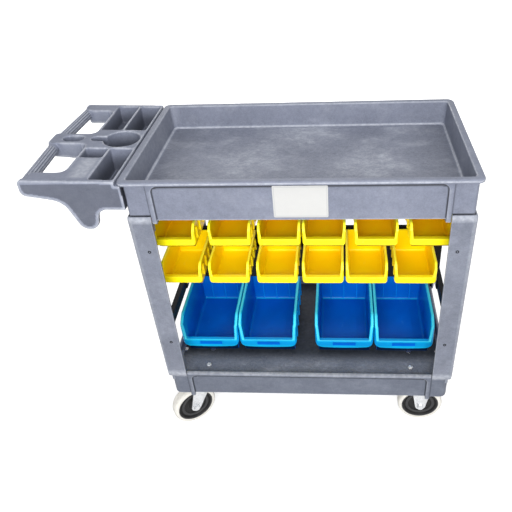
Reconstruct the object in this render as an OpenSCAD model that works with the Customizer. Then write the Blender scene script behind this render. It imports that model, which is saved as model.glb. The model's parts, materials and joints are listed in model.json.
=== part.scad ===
// Workshop trolley: a moulded top tray with a grip handle, a lower shelf on
// four corner posts, a steel rack of hanging parts bins, four large bins on
// the shelf, two swivel casters at the handle end and two fixed casters.
// Millimetres, +Z up. The origin lies on the ground under the middle of the
// whole trolley; +X points away from the handle and -Y to the open bin fronts.

/* [Tray] */
// Length of the tray over its rim
tray_l = 765; // [750:1:860]
// Width of the tray over its rim
tray_w = 430; // [415:1:500]
// Height of the rolled rim
rim_h = 9; // [7:1:14]
// How far the rim stands out past the tray body
rim_over = 10; // [8:0.5:14]
// Corner radius of the rim
rim_r = 18; // [14:1:30]
// Rim edge to the inside of the basin
rim_in = 17; // [15:0.5:26]
// Depth of the basin below the rim top
tray_depth = 62; // [30:1:72]
// Thickness of the moulded floors and skirts
wall = 5; // [3:0.5:6]
// Height of the tray corners that show between post and rim
tray_block_h = 85; // [77:1:117]
// Height of the tray skirt below the rim
tray_skirt_h = 91; // [90:1:95]

/* [Posts] */
// Length of a corner post
post_l = 504; // [490:1:620]
// Width of each flange of a post
post_w = 53; // [46:1:60]
// Thickness of a post flange
post_t = 6; // [4:0.5:8]
// Outer corner radius of a post
post_r = 10; // [6:1:14]
// Post face to the edge of the tray rim
post_in = 6; // [4:0.5:7]
// How far a tenon reaches inside a post
tenon_h = 56; // [40:1:58]

/* [Lower shelf] */
// Height of the shelf corners that show under the posts
shelf_block_h = 82; // [78:1:110]
// Height of the shelf lip above the post ends
lip_up = 11; // [6:1:20]
// Thickness of the shelf lip
lip_t = 8; // [6:0.5:10]
// Depth of the shelf floor below the lip
shelf_depth = 23; // [15:1:30]
// Height of the shelf skirt below the lip
shelf_skirt_h = 86; // [70:1:90]

/* [Skirt trim] */
// Width of the upright ribs beside the posts
rib_w = 12; // [8:1:16]
// How far the ribs stand out of the skirt
rib_d = 3.5; // [2:0.25:3.75]
// How far the rib ends hang below the skirt
rib_drop = 7; // [3:1:7]
// Corner radius of the recessed skirt panel
panel_r = 12; // [6:1:20]
// Height of the band over the recessed tray panel
panel_band = 4; // [2:0.5:4]
// Width of the blank label plate
label_w = 117; // [80:1:160]
// Height of the blank label plate
label_h = 78; // [50:1:78]
// Shift of the label plate along the skirt
label_x = 5.5; // [-100:0.5:100]
// Thickness of the label plate
label_t = 1.2; // [0.8:0.2:2]

/* [Handle] */
// Reach of the cheeks past the tray rim
handle_reach = 214.5; // [205:0.5:240]
// How far the middle spine stands out past the cheeks
spine_out = 10.5; // [5:0.5:20]
// Width of the handle over its cheeks
handle_w = 419; // [415:1:428]
// Rise of the handle away from the tray, in degrees
handle_tilt = 1.6; // [0:0.1:3]
// Thickness of a cheek
cheek_t = 12; // [8:1:16]
// Gap between the handle and the tray rim
handle_gap = 3.5; // [2:0.5:6]
// Height of the handle's pocket block
pocket_block_h = 70; // [60:1:72]
// Length of the pocket block along the trolley
pocket_block_l = 122.5; // [118:0.5:130]
// Depth of the pockets
pocket_d = 60; // [40:1:62]
// Depth of the outer pocket on the far side
outer_pocket_d = 48; // [30:1:50]
// Depth of the small pocket
small_pocket_d = 40; // [20:1:58]
// Thickness of the walls between pockets
pocket_wall = 5; // [3:0.5:8]
// Width of the middle spine
spine_w = 92; // [90:1:110]
// Width of the spine's nose between the grips
nose_w = 54; // [48:1:70]
// Width of the small pocket
small_pocket_w = 46; // [30:1:90]
// Diameter of the cup well
cup_d = 86; // [70:1:86]
// Depth of the cup well
cup_depth = 54; // [30:1:60]
// Width of the slot that runs into the cup well
slot_w = 24; // [14:1:30]
// Depth of the slot
slot_depth = 24; // [10:1:36]
// Length of the oval hole through the spine
oval_l = 50; // [40:1:60]
// Width of the oval hole through the spine
oval_w = 29; // [18:1:36]
// Depth of the cheek hooks below the handle top
cheek_drop = 122; // [112:1:126]
// Diameter of the two grip bars
grip_d = 26; // [22:1:32]
// Diameter of the long flutes in the grips
flute_d = 5; // [3:0.5:6]

/* [Bin rack] */
// Width of a crossbar
crossbar_w = 13; // [10:0.5:14]
// Height of a crossbar
crossbar_h = 30; // [24:1:36]
// Height of the lower crossbars above the post ends
crossbar_low = 129; // [115:1:150]
// Distance of the upper crossbars below the post tops
crossbar_high = 89; // [80:1:100]
// Thickness of the steel strip in the rack
strip_t = 3; // [2:0.5:4]
// Width of the rack uprights
upright_w = 22; // [18:1:30]
// Height of a bin rail
rail_h = 62; // [56:1:64]
// Pitch between the two rails
rail_pitch = 114; // [110:1:118]
// Top of the upper rail below the post tops
rail_drop = 57; // [55:1:65]
// How far the lower rail's plate reaches down past its foot
plate_drop = 110; // [0:1:112]
// Thickness of the rail sheet
rail_t = 2.5; // [2:0.25:3]

/* [Small bins] */
// Width of a small bin
small_w = 101; // [80:1:112]
// Length of a small bin
small_l = 156; // [120:1:170]
// Height of a small bin
small_h = 69; // [65:1:74]
// Wall of a small bin
small_wall = 2.5; // [2:0.25:3]
// Height of the front wall of a small bin
small_front_h = 33; // [24:1:40]
// Distance of the small bin fronts from the middle of the trolley
small_front = 148; // [140:1:160]
// Height of the front lip band of a small bin
small_lip_h = 17; // [10:1:20]
// Height of the upright part of a small bin's cheeks
small_cheek_h = 50; // [44:1:60]
// Slope of a small bin's cheeks, along the bin
small_set_back = 15; // [10:1:40]
// Front of a small bin's base behind its lip
small_toe = 18; // [12:1:30]

/* [Large bins] */
// Width of a large bin
large_w = 158; // [130:1:162]
// Length of a large bin
large_l = 240; // [200:1:255]
// Height of a large bin
large_h = 125; // [115:1:130]
// Wall of a large bin
large_wall = 3; // [2:0.25:4]
// Height of the front wall of a large bin
large_front_h = 55; // [45:1:70]
// Height of the front lip band of a large bin
large_lip_h = 23; // [15:1:26]
// Height of the upright part of a large bin's cheeks
large_cheek_h = 102; // [90:1:110]
// Slope of a large bin's cheeks, along the bin
large_set_back = 31; // [15:1:60]
// Front of a large bin's base behind its lip
large_toe = 20; // [14:1:40]
// Gap between the two large bins of a pair
large_gap = 2; // [1.5:0.5:6]
// Gap between the pairs of large bins
pair_gap = 50; // [20:1:68]
// Front of the large bins behind the middle of the trolley
large_front = 115; // [100:1:140]

/* [Casters] */
// Diameter of a wheel
wheel_d = 125; // [100:1:128]
// Width of a wheel's tread
tread_w = 32; // [24:1:36]
// Thickness of the tyre
tyre_t = 11; // [7:0.5:14]
// Height of a caster from the ground to its plate top
caster_h = 160; // [158:1:175]
// Distance of a caster's middle from the end skirt
caster_in_x = 59.5; // [54.5:0.5:77.5]
// Distance of a caster's middle from the long skirt
caster_in_y = 78; // [71:1:93]
// Length of a caster plate
plate_l = 104; // [96:1:110]
// Width of a caster plate
plate_w = 84; // [78:1:90]
// Spacing of the plate bolts along the trolley
plate_bolt_x = 78; // [72:1:80]
// Spacing of the plate bolts across the trolley
plate_bolt_y = 60; // [56:1:62]
// Thickness of the pressed caster steel
caster_t = 3; // [2.5:0.25:4]
// Offset of a swivel wheel's axle from its kingpin
trail = 38; // [30:1:42]
// Diameter of an axle bolt
axle_d = 10; // [8:0.5:12]
// Diameter of a kingpin
kingpin_d = 12; // [10:0.5:14]
// Resting turn of the front swivel caster
swivel_front_a = 34; // [-180:1:180]
// Resting turn of the rear swivel caster
swivel_rear_a = 12; // [-180:1:180]

/* [Fasteners] */
// Shank diameter of the long caster bolts
bolt_d = 8; // [6:0.5:9]
// Shank diameter of the rack and handle bolts
small_bolt_d = 6; // [5:0.5:7]
// Shank diameter of the crossbar screws
screw_d = 4; // [3:0.5:5]

/* [Hidden] */
$fn = 48;
eps = 0.01;
seat_gap = 0.3;          // pieces on different bodies, at rest
hole_gap = 0.1;          // bolt shank to hole, on the radius
run_gap = 0.05;          // running fit, on the radius

// Heights, from the ground up
post_bot = caster_h + shelf_block_h;
post_top = post_bot + post_l;
rim_bot = post_top + tray_block_h;
tray_top = rim_bot + rim_h;
tray_floor = tray_top - tray_depth;
tray_skirt_bot = rim_bot - tray_skirt_h;
lip_top = post_bot + lip_up;
shelf_floor = lip_top - shelf_depth;
shelf_skirt_bot = lip_top - shelf_skirt_h;

// Plan of the body
body_x = tray_l / 2 - rim_over;
body_y = tray_w / 2 - rim_over;
caster_x = body_x - caster_in_x;
caster_y = body_y - caster_in_y;
post_x = tray_l / 2 - post_in;
post_y = tray_w / 2 - post_in;
in_x = post_x - post_t;
in_y = post_y - post_t;
post_edge_x = post_x - post_w;
post_edge_y = post_y - post_w;
side_gap = 0.5;                              // skirt trim to the posts
trim_x = post_edge_x - side_gap;
trim_y = post_edge_y - side_gap;
tenon_x = post_edge_x + 10;                  // tenons leave room for the caster bolts
tenon_y = post_edge_y + 12;
basin_r = rim_r - 4;
shell_r = rim_r - 2;
label_bot = tray_skirt_bot + 7.5;           // plate in the middle of the skirt

// Handle
cheek_end = tray_l / 2 + handle_reach;
handle_in = body_x;                          // mounting face on the tray's end skirt
handle_edge = tray_l / 2 + handle_gap;
handle_top = tray_top;
rim_step = rim_h + 2;                        // underside of the step below the tray rim
block_out = handle_edge + pocket_block_l;
block_bot = handle_top - pocket_block_h;
step_bot = block_bot + 2;                    // the step ends inside the turned block
spine_end = cheek_end + spine_out;
spine_t = 42;
nose_r = 8;                                  // outer corners of the spine's nose, in plan
web_t = 38;
pocket_l = (pocket_block_l - 3 * pocket_wall) / 2;
pocket_y0 = spine_w / 2 + pocket_wall;
pocket_y1 = handle_w / 2 - cheek_t;
cup_x = handle_edge + pocket_wall + cup_d / 2;
slot_end = block_out;
oval_x = spine_end - 55;
tip_top_r = 10;                              // upper and lower rounding of a cheek's outer end
tip_low_r = 16;
tip_h = 40;
grip_low = 2;                                // top of the grips below the handle top
grip_lean = 10;                              // a grip's outer end back from its end at the spine
grip_y0 = nose_w / 2 - 1;
grip_y1 = handle_w / 2 - cheek_t / 2;
grip_tilt = atan2(grip_lean, grip_y1 - grip_y0);
gusset_w = 40;
gusset_r = 18;
flutes = 12;
tongue_t = 13;
tongue_w = 300;
handle_bolt_y = 110;
handle_bolt_z = (tray_skirt_bot + tray_floor - wall) / 2;

// The part stands with its origin under the middle of its whole length
far_end = handle_edge + (spine_end - handle_edge) * cos(handle_tilt) + spine_t * sin(handle_tilt);
origin_x = (far_end - tray_l / 2) / 2;

// Rack
crossbar_x0 = in_x - crossbar_w;
crossbar_z = [post_bot + crossbar_low, post_top - crossbar_high];
tab_l = 40;
screw_x = post_edge_x + 20;
recess = 2.5;                                // screw heads sit in this recess
screw_l = post_t + strip_t + 4;
upright_x1 = crossbar_x0;
upright_x0 = upright_x1 - strip_t;
upright_bot = crossbar_z[0] - crossbar_h / 2;
rail_top = [post_top - rail_drop, post_top - rail_drop - rail_pitch];
rail_x = upright_x0;
upright_top = rail_top[0] + 6;
small_back_y = small_l - small_front;
channel_w = 6.5;                             // inside of the rail's hooking channel
rail_lip_y = small_back_y + seat_gap;
rail_back_y = rail_lip_y + rail_t + channel_w;
rail_lip_z = 24;                             // web of the channel below the rail top
rail_lip_h = 14;
bin_below_rail = 5;                          // bin top below the rail top
tab_gap = 0.05;                              // welded end tabs to the rail's plate
tab_bolt_z = [rail_top[0] - rail_h + 7, rail_top[1] - 12, rail_top[1] - rail_h + 12];
rack_bolt_y = rail_back_y + rail_t + upright_w / 2;

// Hook of a small bin, in the bin's own frame
hook_t = 2.5;
hook_side = 8;                               // hook end to the bin's side
hook_z = small_h + bin_below_rail - rail_lip_z - rail_t + rail_lip_h + seat_gap;
hook_drop = rail_lip_h - rail_t - 1;
hook_y = rail_t + 2 * seat_gap;
row_start = 0.5;

// Uneven spacing of the hanging bins, as shares of the free rail
upper_shares = [32, 16, 4, 20, 26, 6];
lower_shares = [18, 18, 11, 5, 16, 36];
bins_per_row = 6;

// Large bins
bin_lip_d = 10;                              // depth of every bin's front lip
large_free = 2 * upright_x0 - 4 * large_w - 2 * large_gap - pair_gap;
large_share = 0.2;                           // the bins stand close to the handle end
large_start = -upright_x0 + large_free * large_share;

// Casters
axle_z = wheel_d / 2;
fork_gap = 3;
fork_in = tread_w / 2 + fork_gap;
fork_end_r = 14;
fork_top_w = 62;
hub_w = tread_w + 2 * (fork_gap - seat_gap);
sleeve_d = axle_d + 4;
hub_d = sleeve_d + 18;
core_r = wheel_d / 2 - tyre_t;
crown_d = 72;
plate_r = 10;
race_h = 5;
race_d = 58;
collar_h = 5;
crown_z = caster_h - caster_t - race_h - seat_gap;
pad_hollow = plate_bolt_x / 2 - bolt_d - 2;  // half length of the hollow between pad bolts
nut_h = 0.8;                                 // nut height as a share of its shank
nut_w = 1.75;                                // nut and head width as a share of the shank
head_h = 0.65;                               // head height as a share of the shank
thread_out = 1;                              // shank past its nut
bolt_seat = shelf_floor - head_h * bolt_d - 0.5;   // caster bolt heads lie below the shelf floor

grey = [0.56, 0.58, 0.63];
black = [0.1, 0.1, 0.11];
yellow = [0.98, 0.83, 0.06];
blue = [0.05, 0.45, 0.83];
zinc = [0.78, 0.79, 0.8];
cream = [0.87, 0.85, 0.8];
white = [0.96, 0.96, 0.96];

ends = ["left", "right"];
sides = ["front", "rear"];
corner_names = [for (s = sides) for (e = ends) str(s, "_", e)];

// Plan helpers

// Everything is drawn about the tray's middle and set into the part's frame here
module in_frame() { translate([origin_x, 0, 0]) children(); }

module rounded(size, r) {
  square([size[0] - 2 * r, size[1]], center = true);
  square([size[0], size[1] - 2 * r], center = true);
  for (sx = [-1, 1], sy = [-1, 1])
    translate([sx * (size[0] / 2 - r), sy * (size[1] / 2 - r)]) circle(r);
}

// Box from two corners
module span(a, b) {
  translate(a) cube([b[0] - a[0], b[1] - a[1], b[2] - a[2]]);
}

module both_ends() { for (m = [0, 1]) mirror([m, 0, 0]) children(); }

module both_sides() { for (m = [0, 1]) mirror([0, m, 0]) children(); }

module corners() { both_ends() both_sides() children(); }

// Side of the trolley and end of the trolley from a corner's number
function side_sign(i) = i < 2 ? -1 : 1;
function end_sign(i) = i % 2 == 0 ? -1 : 1;

// Points on an arc from angle a to angle b
function arc(c, r, a, b, n = 8) =
  [for (i = [0:n]) c + r * [cos(a + (b - a) * i / n), sin(a + (b - a) * i / n)]];

// Bolts and nuts

// Head on the plane z = 0, shank down through the grip and the nut
module hex_bolt(d, grip) {
  shank = grip + nut_h * d + thread_out;
  cylinder(d = nut_w * d, h = head_h * d, $fn = 6);
  translate([0, 0, -shank]) cylinder(d = d, h = shank + eps);
}

module hex_nut(d, grip) {
  translate([0, 0, -grip - nut_h * d]) difference() {
    cylinder(d = nut_w * d, h = nut_h * d, $fn = 6);
    translate([0, 0, -1]) cylinder(r = d / 2 + hole_gap, h = nut_h * d + 2);
  }
}

module bolt_set(d, grip) {
  hex_bolt(d, grip);
  hex_nut(d, grip);
}

module bolt_hole(d, depth) {
  translate([0, 0, -depth]) cylinder(r = d / 2 + hole_gap, h = 2 * depth);
}

// Places of the fasteners

module at_caster_bolts() {
  corners() for (sx = [-1, 1], sy = [-1, 1])
    translate([caster_x + sx * plate_bolt_x / 2, caster_y + sy * plate_bolt_y / 2, bolt_seat])
      children();
}

module at_handle_bolts() {
  for (s = [-1, 0, 1])
    translate([-handle_in - tongue_t, s * handle_bolt_y, handle_bolt_z]) rotate([0, -90, 0])
      children();
}

post_bolt_z = [post_bot + tenon_h / 2, post_top - tenon_h / 2];
post_bolt_y = post_y - post_w / 2;

module at_post_bolts() {
  corners() for (z = post_bolt_z)
    translate([post_x, post_bolt_y, z]) rotate([0, 90, 0]) children();
}

module at_crossbar_screws() {
  corners() for (z = crossbar_z)
    translate([screw_x, post_y, z]) rotate([-90, 0, 0]) children();
}

module at_rail_bolts() {
  both_ends() for (z = tab_bolt_z)
    translate([rail_x - rail_t, rack_bolt_y, z]) rotate([0, -90, 0]) children();
}

// The upper crossbar bolts also pass through the upper rail's end tabs
module at_upper_bolts() {
  both_ends() translate([rail_x - rail_t, rack_bolt_y, crossbar_z[1]]) rotate([0, -90, 0]) children();
}

module at_lower_bolts() {
  both_ends() translate([upright_x0, rack_bolt_y, crossbar_z[0]]) rotate([0, -90, 0]) children();
}

module rack_holes() {
  reach = rail_t + 2 * strip_t + 1;
  at_rail_bolts() bolt_hole(small_bolt_d, reach);
  at_upper_bolts() bolt_hole(small_bolt_d, reach);
  at_lower_bolts() bolt_hole(small_bolt_d, reach);
}

// Moulded shelves

// Raised frame round a recessed panel on the long skirts
module skirt_frame(bottom, top, band) {
  both_sides() translate([0, -body_y, 0]) rotate([90, 0, 0]) linear_extrude(rib_d) difference() {
    translate([-trim_x, bottom - rib_drop]) square([2 * trim_x, top - bottom + rib_drop]);
    panel_window(bottom - rib_drop - 1, top - band);
    // lower edge of the skirt between the ribs
    translate([-trim_x + rib_w, bottom - rib_drop - 1])
      square([2 * (trim_x - rib_w), rib_drop + 1]);
  }
}

module panel_window(bottom, top) {
  half = trim_x - rib_w;
  translate([-half, bottom]) square([2 * half, top - panel_r - bottom]);
  translate([-half + panel_r, bottom]) square([2 * (half - panel_r), top - bottom]);
  for (s = [-1, 1]) translate([s * (half - panel_r), top - panel_r]) circle(panel_r);
}

// Long and short skirts between the corner blocks
module skirts(bottom, top) {
  both_sides() span([-trim_x, -body_y, bottom], [trim_x, -body_y + wall, top]);
  both_ends() span([-body_x, -trim_y, bottom], [-body_x + wall, trim_y, top]);
}

// Walls that close a corner under or over a post, flush with its inner faces
module corner_walls(bottom, top) {
  corners() {
    span([trim_x - wall, in_y - wall, bottom], [in_x, in_y, top]);
    span([in_x - wall, trim_y - wall, bottom], [in_x, in_y, top]);
  }
}

// Tenon that a post slides over, and the hollow that runs up into it
module tenons(bottom, top) {
  corners() span([tenon_x, tenon_y, bottom], [in_x, in_y, top]);
}

module tenon_hollows(bottom, top) {
  corners() span([tenon_x + wall, tenon_y + wall, bottom], [in_x - wall, in_y - wall, top]);
}

// Stiffening ribs under a floor
module floor_ribs(top, depth) {
  for (y = [-tray_w / 6, tray_w / 6])
    span([-body_x + eps, y - wall / 2, top - depth], [body_x - eps, y + wall / 2, top]);
  for (x = [-tray_l / 4, 0, tray_l / 4])
    span([x - wall / 2, -body_y + eps, top - depth], [x + wall / 2, body_y - eps, top]);
}

module top_tray() {
  color(grey) in_frame() difference() {
    union() {
      translate([0, 0, rim_bot]) linear_extrude(rim_h) rounded([tray_l, tray_w], rim_r);
      translate([0, 0, tray_floor - wall]) linear_extrude(rim_bot - tray_floor + wall + eps)
        rounded([2 * body_x, 2 * body_y], shell_r);
      skirts(tray_skirt_bot, tray_floor);
      skirt_frame(tray_skirt_bot, rim_bot, panel_band);
      floor_ribs(tray_floor - wall + eps, (tray_floor - wall - tray_skirt_bot) / 2);
      corner_walls(tray_skirt_bot, tray_floor - wall + eps);
      tenons(post_top - tenon_h, tray_floor - wall + eps);
    }
    tenon_hollows(post_top - tenon_h - 1, tray_floor - wall);
    translate([0, 0, tray_floor]) linear_extrude(tray_depth + 1)
      rounded([tray_l - 2 * rim_in, tray_w - 2 * rim_in], basin_r);
    at_handle_bolts() bolt_hole(small_bolt_d, tongue_t + 2 * wall);
    at_post_bolts() bolt_hole(small_bolt_d, post_t + 2 * wall);
  }
}

module label_plate() {
  color(white) in_frame()
    span([label_x - label_w / 2, -body_y - label_t, label_bot],
      [label_x + label_w / 2, -body_y, label_bot + label_h]);
}

// Pad under the shelf floor that a caster plate bolts to
module caster_pad() {
  corners() translate([caster_x, caster_y, 0]) difference() {
    span([-plate_l / 2, -plate_w / 2, caster_h], [plate_l / 2, plate_w / 2, shelf_floor - wall + eps]);
    span([-pad_hollow, -plate_w / 2 + wall, caster_h - 1],
      [pad_hollow, plate_w / 2 - wall, shelf_floor - 2 * wall]);
  }
}

module lower_shelf() {
  color(grey) in_frame() difference() {
    union() {
      span([-body_x, -trim_y, shelf_floor - wall], [body_x, trim_y, shelf_floor]);
      span([-trim_x, -body_y, shelf_floor - wall], [trim_x, body_y, shelf_floor]);
      skirts(shelf_skirt_bot, shelf_floor);
      shelf_frame(0, shelf_floor);
      floor_ribs(shelf_floor - wall + eps, (shelf_floor - shelf_skirt_bot) / 2);
      corners() span([trim_x - wall, trim_y - wall, shelf_floor - wall], [in_x, in_y, shelf_floor]);
      corner_walls(caster_h, shelf_floor);
      caster_pad();
    }
    tenon_hollows(shelf_floor - wall - 1, shelf_floor + 1);
    at_caster_bolts() {
      bolt_hole(bolt_d, bolt_seat - caster_h + 1);
      cylinder(d = nut_w * bolt_d + 2, h = shelf_floor - bolt_seat + eps);
    }
  }
}

// Part of the shelf's raised frame between two heights
module shelf_frame(low, high) {
  intersection() {
    skirt_frame(shelf_skirt_bot, lip_top, 2 * panel_band);
    span([-body_x, -tray_w, low], [body_x, tray_w, high]);
  }
}

// Lips between the posts and tenons inside them, standing on the shelf floor
module shelf_rim() {
  color(grey) in_frame() difference() {
    union() {
      both_sides() span([-trim_x, -body_y, shelf_floor], [trim_x, -body_y + lip_t, lip_top]);
      both_ends() span([-body_x, -trim_y, shelf_floor], [-body_x + lip_t, trim_y, lip_top]);
      shelf_frame(shelf_floor, lip_top);
      tenons(shelf_floor, post_bot + tenon_h);
      corners() {
        span([post_edge_x, in_y - wall, shelf_floor], [in_x, in_y, post_bot]);
        span([in_x - wall, post_edge_y, shelf_floor], [in_x, in_y, post_bot]);
      }
    }
    tenon_hollows(shelf_floor - 1, post_bot + tenon_h - wall);
    at_post_bolts() bolt_hole(small_bolt_d, post_t + 2 * wall);
  }
}

// Handle

// Hooked outline of a cheek: u runs out from the tray, v up from the handle top.
// Each curve is an arc given by its centre, radius and first and last angle.
module cheek_outline() {
  out = cheek_end - handle_in;
  hook_r = 24;
  hook_u = 0.73 * pocket_block_l;
  knee_r = 45;
  knee = [out - 58, -92];
  throat_u = hook_u - 2 * hook_r - 1;
  edge = handle_edge - handle_in;
  polygon(concat(
    arc([out - tip_top_r, -tip_top_r], tip_top_r, 90, 0),
    arc([out - tip_low_r, tip_low_r - tip_h], tip_low_r, 0, -75),
    arc(knee, knee_r, 100, 147),
    arc([hook_u, hook_r - cheek_drop], hook_r, 340, 190),
    arc([throat_u, -pocket_block_h - hook_r], hook_r, 10, 90),
    [[0, -pocket_block_h], [0, -rim_step], [edge, -rim_step], [edge, 0]]
  ));
}

// Cheek's outline from y back over the thickness t
module outline_slab(y, t) {
  translate([-handle_in, y, handle_top]) rotate([90, 0, 0]) mirror([1, 0, 0])
    linear_extrude(t) cheek_outline();
}

module cheeks() { both_sides() outline_slab(-handle_w / 2 + cheek_t, cheek_t); }

// Grip bar with long flutes, leaning out from the cheek to the spine
module grips() {
  len = (grip_y1 - grip_y0) / cos(grip_tilt);
  both_sides() translate([-spine_end + grip_d / 2, grip_y0, handle_top - grip_low - grip_d / 2])
    rotate([0, 0, -grip_tilt]) rotate([-90, 0, 0]) difference() {
      cylinder(d = grip_d, h = len);
      for (i = [0:flutes - 1]) rotate(i * 360 / flutes)
        translate([grip_d / 2 + flute_d / 4, 0, cheek_t]) cylinder(d = flute_d, h = len - 2.5 * cheek_t);
    }
}

// Rounded web that joins each grip to its cheek
module gussets() {
  hole_l = cheek_end - grip_d - block_out;
  both_sides() difference() {
    span([-cheek_end + grip_d / 2, handle_w / 2 - gusset_w - gusset_r, handle_top - web_t],
      [-block_out + eps, handle_w / 2 - 1, handle_top - 1]);
    translate([-block_out - hole_l / 2, 0, handle_top - web_t - 1]) linear_extrude(web_t + 2)
      rounded([hole_l, handle_w - 2 * gusset_w], gusset_r);
  }
}

// Two long pockets on the far side, one long and one small on the near side;
// the flat ledge beside the small one is hollow from below
module handle_pockets() {
  inner = -handle_edge - pocket_wall;
  outer = inner - pocket_l - pocket_wall;
  top = handle_top + 1;
  deep = handle_top - pocket_d;
  small_end = pocket_y0 + small_pocket_w;
  both_sides() span([inner - pocket_l, pocket_y0, deep], [inner, pocket_y1, top]);
  span([outer - pocket_l, pocket_y0, handle_top - outer_pocket_d], [outer, pocket_y1, top]);
  span([outer - pocket_l, -small_end, handle_top - small_pocket_d], [outer, -pocket_y0, top]);
  span([outer - pocket_l, -pocket_y1, block_bot - 1],
    [outer, -small_end - pocket_wall, handle_top - pocket_wall]);
}

// Slot with round ends along X, cut down from the handle top
module long_slot(x0, x1, w, depth) {
  bottom = handle_top - depth;
  for (x = [x0, x1]) translate([x, 0, bottom]) cylinder(d = w, h = depth + 1);
  span([x0, -w / 2, bottom], [x1, w / 2, handle_top + 1]);
}

module spine_wells() {
  translate([-cup_x, 0, handle_top - cup_depth]) cylinder(d = cup_d, h = cup_depth + 1);
  long_slot(-slot_end + slot_w / 2, -cup_x, slot_w, slot_depth);
  long_slot(-oval_x - (oval_l - oval_w) / 2, -oval_x + (oval_l - oval_w) / 2, oval_w, pocket_block_h);
}

// Nose of the spine between the grips, with round outer corners
module spine_nose() {
  bottom = handle_top - spine_t;
  span([-spine_end + nose_r, -nose_w / 2, bottom], [-block_out + eps, nose_w / 2, handle_top]);
  span([-spine_end, -nose_w / 2 + nose_r, bottom],
    [-spine_end + nose_r + eps, nose_w / 2 - nose_r, handle_top]);
  both_sides() translate([-spine_end + nose_r, nose_w / 2 - nose_r, bottom])
    cylinder(r = nose_r, h = spine_t);
}

// Turn the moulding up about its top edge beside the tray
module tilted() {
  translate([-handle_edge, 0, handle_top]) rotate([0, handle_tilt, 0])
    translate([handle_edge, 0, -handle_top]) children();
}

module handle() {
  color(grey) in_frame() difference() {
    union() {
      tilted() {
        cheeks();
        grips();
        gussets();
        spine_nose();
        // pocket block inside the cheeks' outline
        intersection() {
          span([-block_out, -handle_w / 2 + 1, block_bot], [-handle_edge, handle_w / 2 - 1, handle_top]);
          outline_slab(handle_w / 2, handle_w);
        }
      }
      // step under the tray rim and mounting tongue
      span([-handle_edge - pocket_wall + 1, -trim_y, step_bot],
        [-handle_in, trim_y, handle_top - rim_step]);
      span([-handle_in - tongue_t, -tongue_w / 2, tray_skirt_bot],
        [-handle_in, tongue_w / 2, step_bot + eps]);
    }
    tilted() {
      handle_pockets();
      spine_wells();
    }
    at_handle_bolts() bolt_hole(small_bolt_d, tongue_t + 1);
  }
}

module handle_bolts() {
  color(zinc) in_frame() at_handle_bolts() bolt_set(small_bolt_d, tongue_t + wall);
}

// Posts

// Angle post with a rounded outer corner, drawn for the +X +Y corner
module post_section() {
  difference() {
    union() {
      translate([post_edge_x, post_edge_y]) square([post_w - post_r, post_w]);
      translate([post_edge_x, post_edge_y]) square([post_w, post_w - post_r]);
      translate([post_x - post_r, post_y - post_r]) circle(post_r);
    }
    translate([post_edge_x - 1, post_edge_y - 1]) square([post_w - post_t + 1, post_w - post_t + 1]);
  }
}

module post(i) {
  color(grey) in_frame() difference() {
    mirror([end_sign(i) < 0 ? 1 : 0, 0, 0]) mirror([0, side_sign(i) < 0 ? 1 : 0, 0])
      translate([0, 0, post_bot]) linear_extrude(post_l) post_section();
    at_post_bolts() bolt_hole(small_bolt_d, post_t + 1);
    at_crossbar_screws() {
      bolt_hole(screw_d, post_t + 1);
      translate([0, 0, -recess]) cylinder(d = 2 * screw_d + 1, h = recess + 1);
    }
  }
}

module post_bolts() {
  color(zinc) in_frame() at_post_bolts() bolt_set(small_bolt_d, post_t + wall);
}

// Rack

module crossbar(level, end) {
  z = crossbar_z[level];
  color(black) in_frame() mirror([end == 0 ? 1 : 0, 0, 0]) difference() {
    union() {
      span([crossbar_x0, -in_y, z - crossbar_h / 2], [in_x, in_y, z + crossbar_h / 2]);
      both_sides() span([crossbar_x0 - tab_l + crossbar_w, in_y - strip_t, z - crossbar_h / 2],
        [in_x, in_y, z + crossbar_h / 2]);
    }
    span([crossbar_x0 + strip_t, -in_y + strip_t, z - crossbar_h],
      [in_x - strip_t, in_y - strip_t, z + crossbar_h / 2 - strip_t]);
    at_crossbar_screws() bolt_hole(screw_d, post_t + strip_t + 1);
    rack_holes();
  }
}

module crossbar_screws() {
  color(black) in_frame() at_crossbar_screws() {
    translate([0, 0, -recess]) cylinder(d = 2 * screw_d, h = screw_d / 2);
    translate([0, 0, -screw_l]) cylinder(d = screw_d, h = screw_l - recess + eps);
  }
}

module upright(end) {
  y0 = rail_back_y + rail_t;
  color(black) in_frame() mirror([end == 0 ? 1 : 0, 0, 0]) difference() {
    span([upright_x0, y0, upright_bot], [upright_x1, y0 + upright_w, upright_top]);
    rack_holes();
  }
}

// Rail: a back plate with a hooking channel, a foot flange and welded end tabs;
// the lower rail's plate also hides the gaps between the bins
module rail(row) {
  top = rail_top[row];
  bottom = top - rail_h;
  web = top - rail_lip_z;
  y1 = rail_back_y + rail_t;
  color(black) in_frame() difference() {
    union() {
      span([-rail_x, rail_back_y, bottom - row * plate_drop], [rail_x, y1, top]);
      span([-rail_x, rail_lip_y, web - rail_t], [rail_x, y1, web]);
      span([-rail_x, rail_lip_y, web - rail_t], [rail_x, rail_lip_y + rail_t, web + rail_lip_h - rail_t]);
      span([-rail_x, rail_lip_y, bottom], [rail_x, y1, bottom + rail_t]);
      both_ends() span([rail_x - rail_t, y1 + tab_gap, bottom], [rail_x, y1 + upright_w, top]);
    }
    rack_holes();
  }
}

module rack_bolts() {
  color(zinc) in_frame() {
    at_rail_bolts() bolt_set(small_bolt_d, rail_t + strip_t);
    at_upper_bolts() bolt_set(small_bolt_d, rail_t + 2 * strip_t);
    at_lower_bolts() bolt_set(small_bolt_d, 2 * strip_t);
  }
}

// Bins

// Carry a side outline across the bin, from x0 over the width w
module across(x0, w) { translate([x0, 0, 0]) rotate([90, 0, 90]) linear_extrude(w) children(); }

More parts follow.
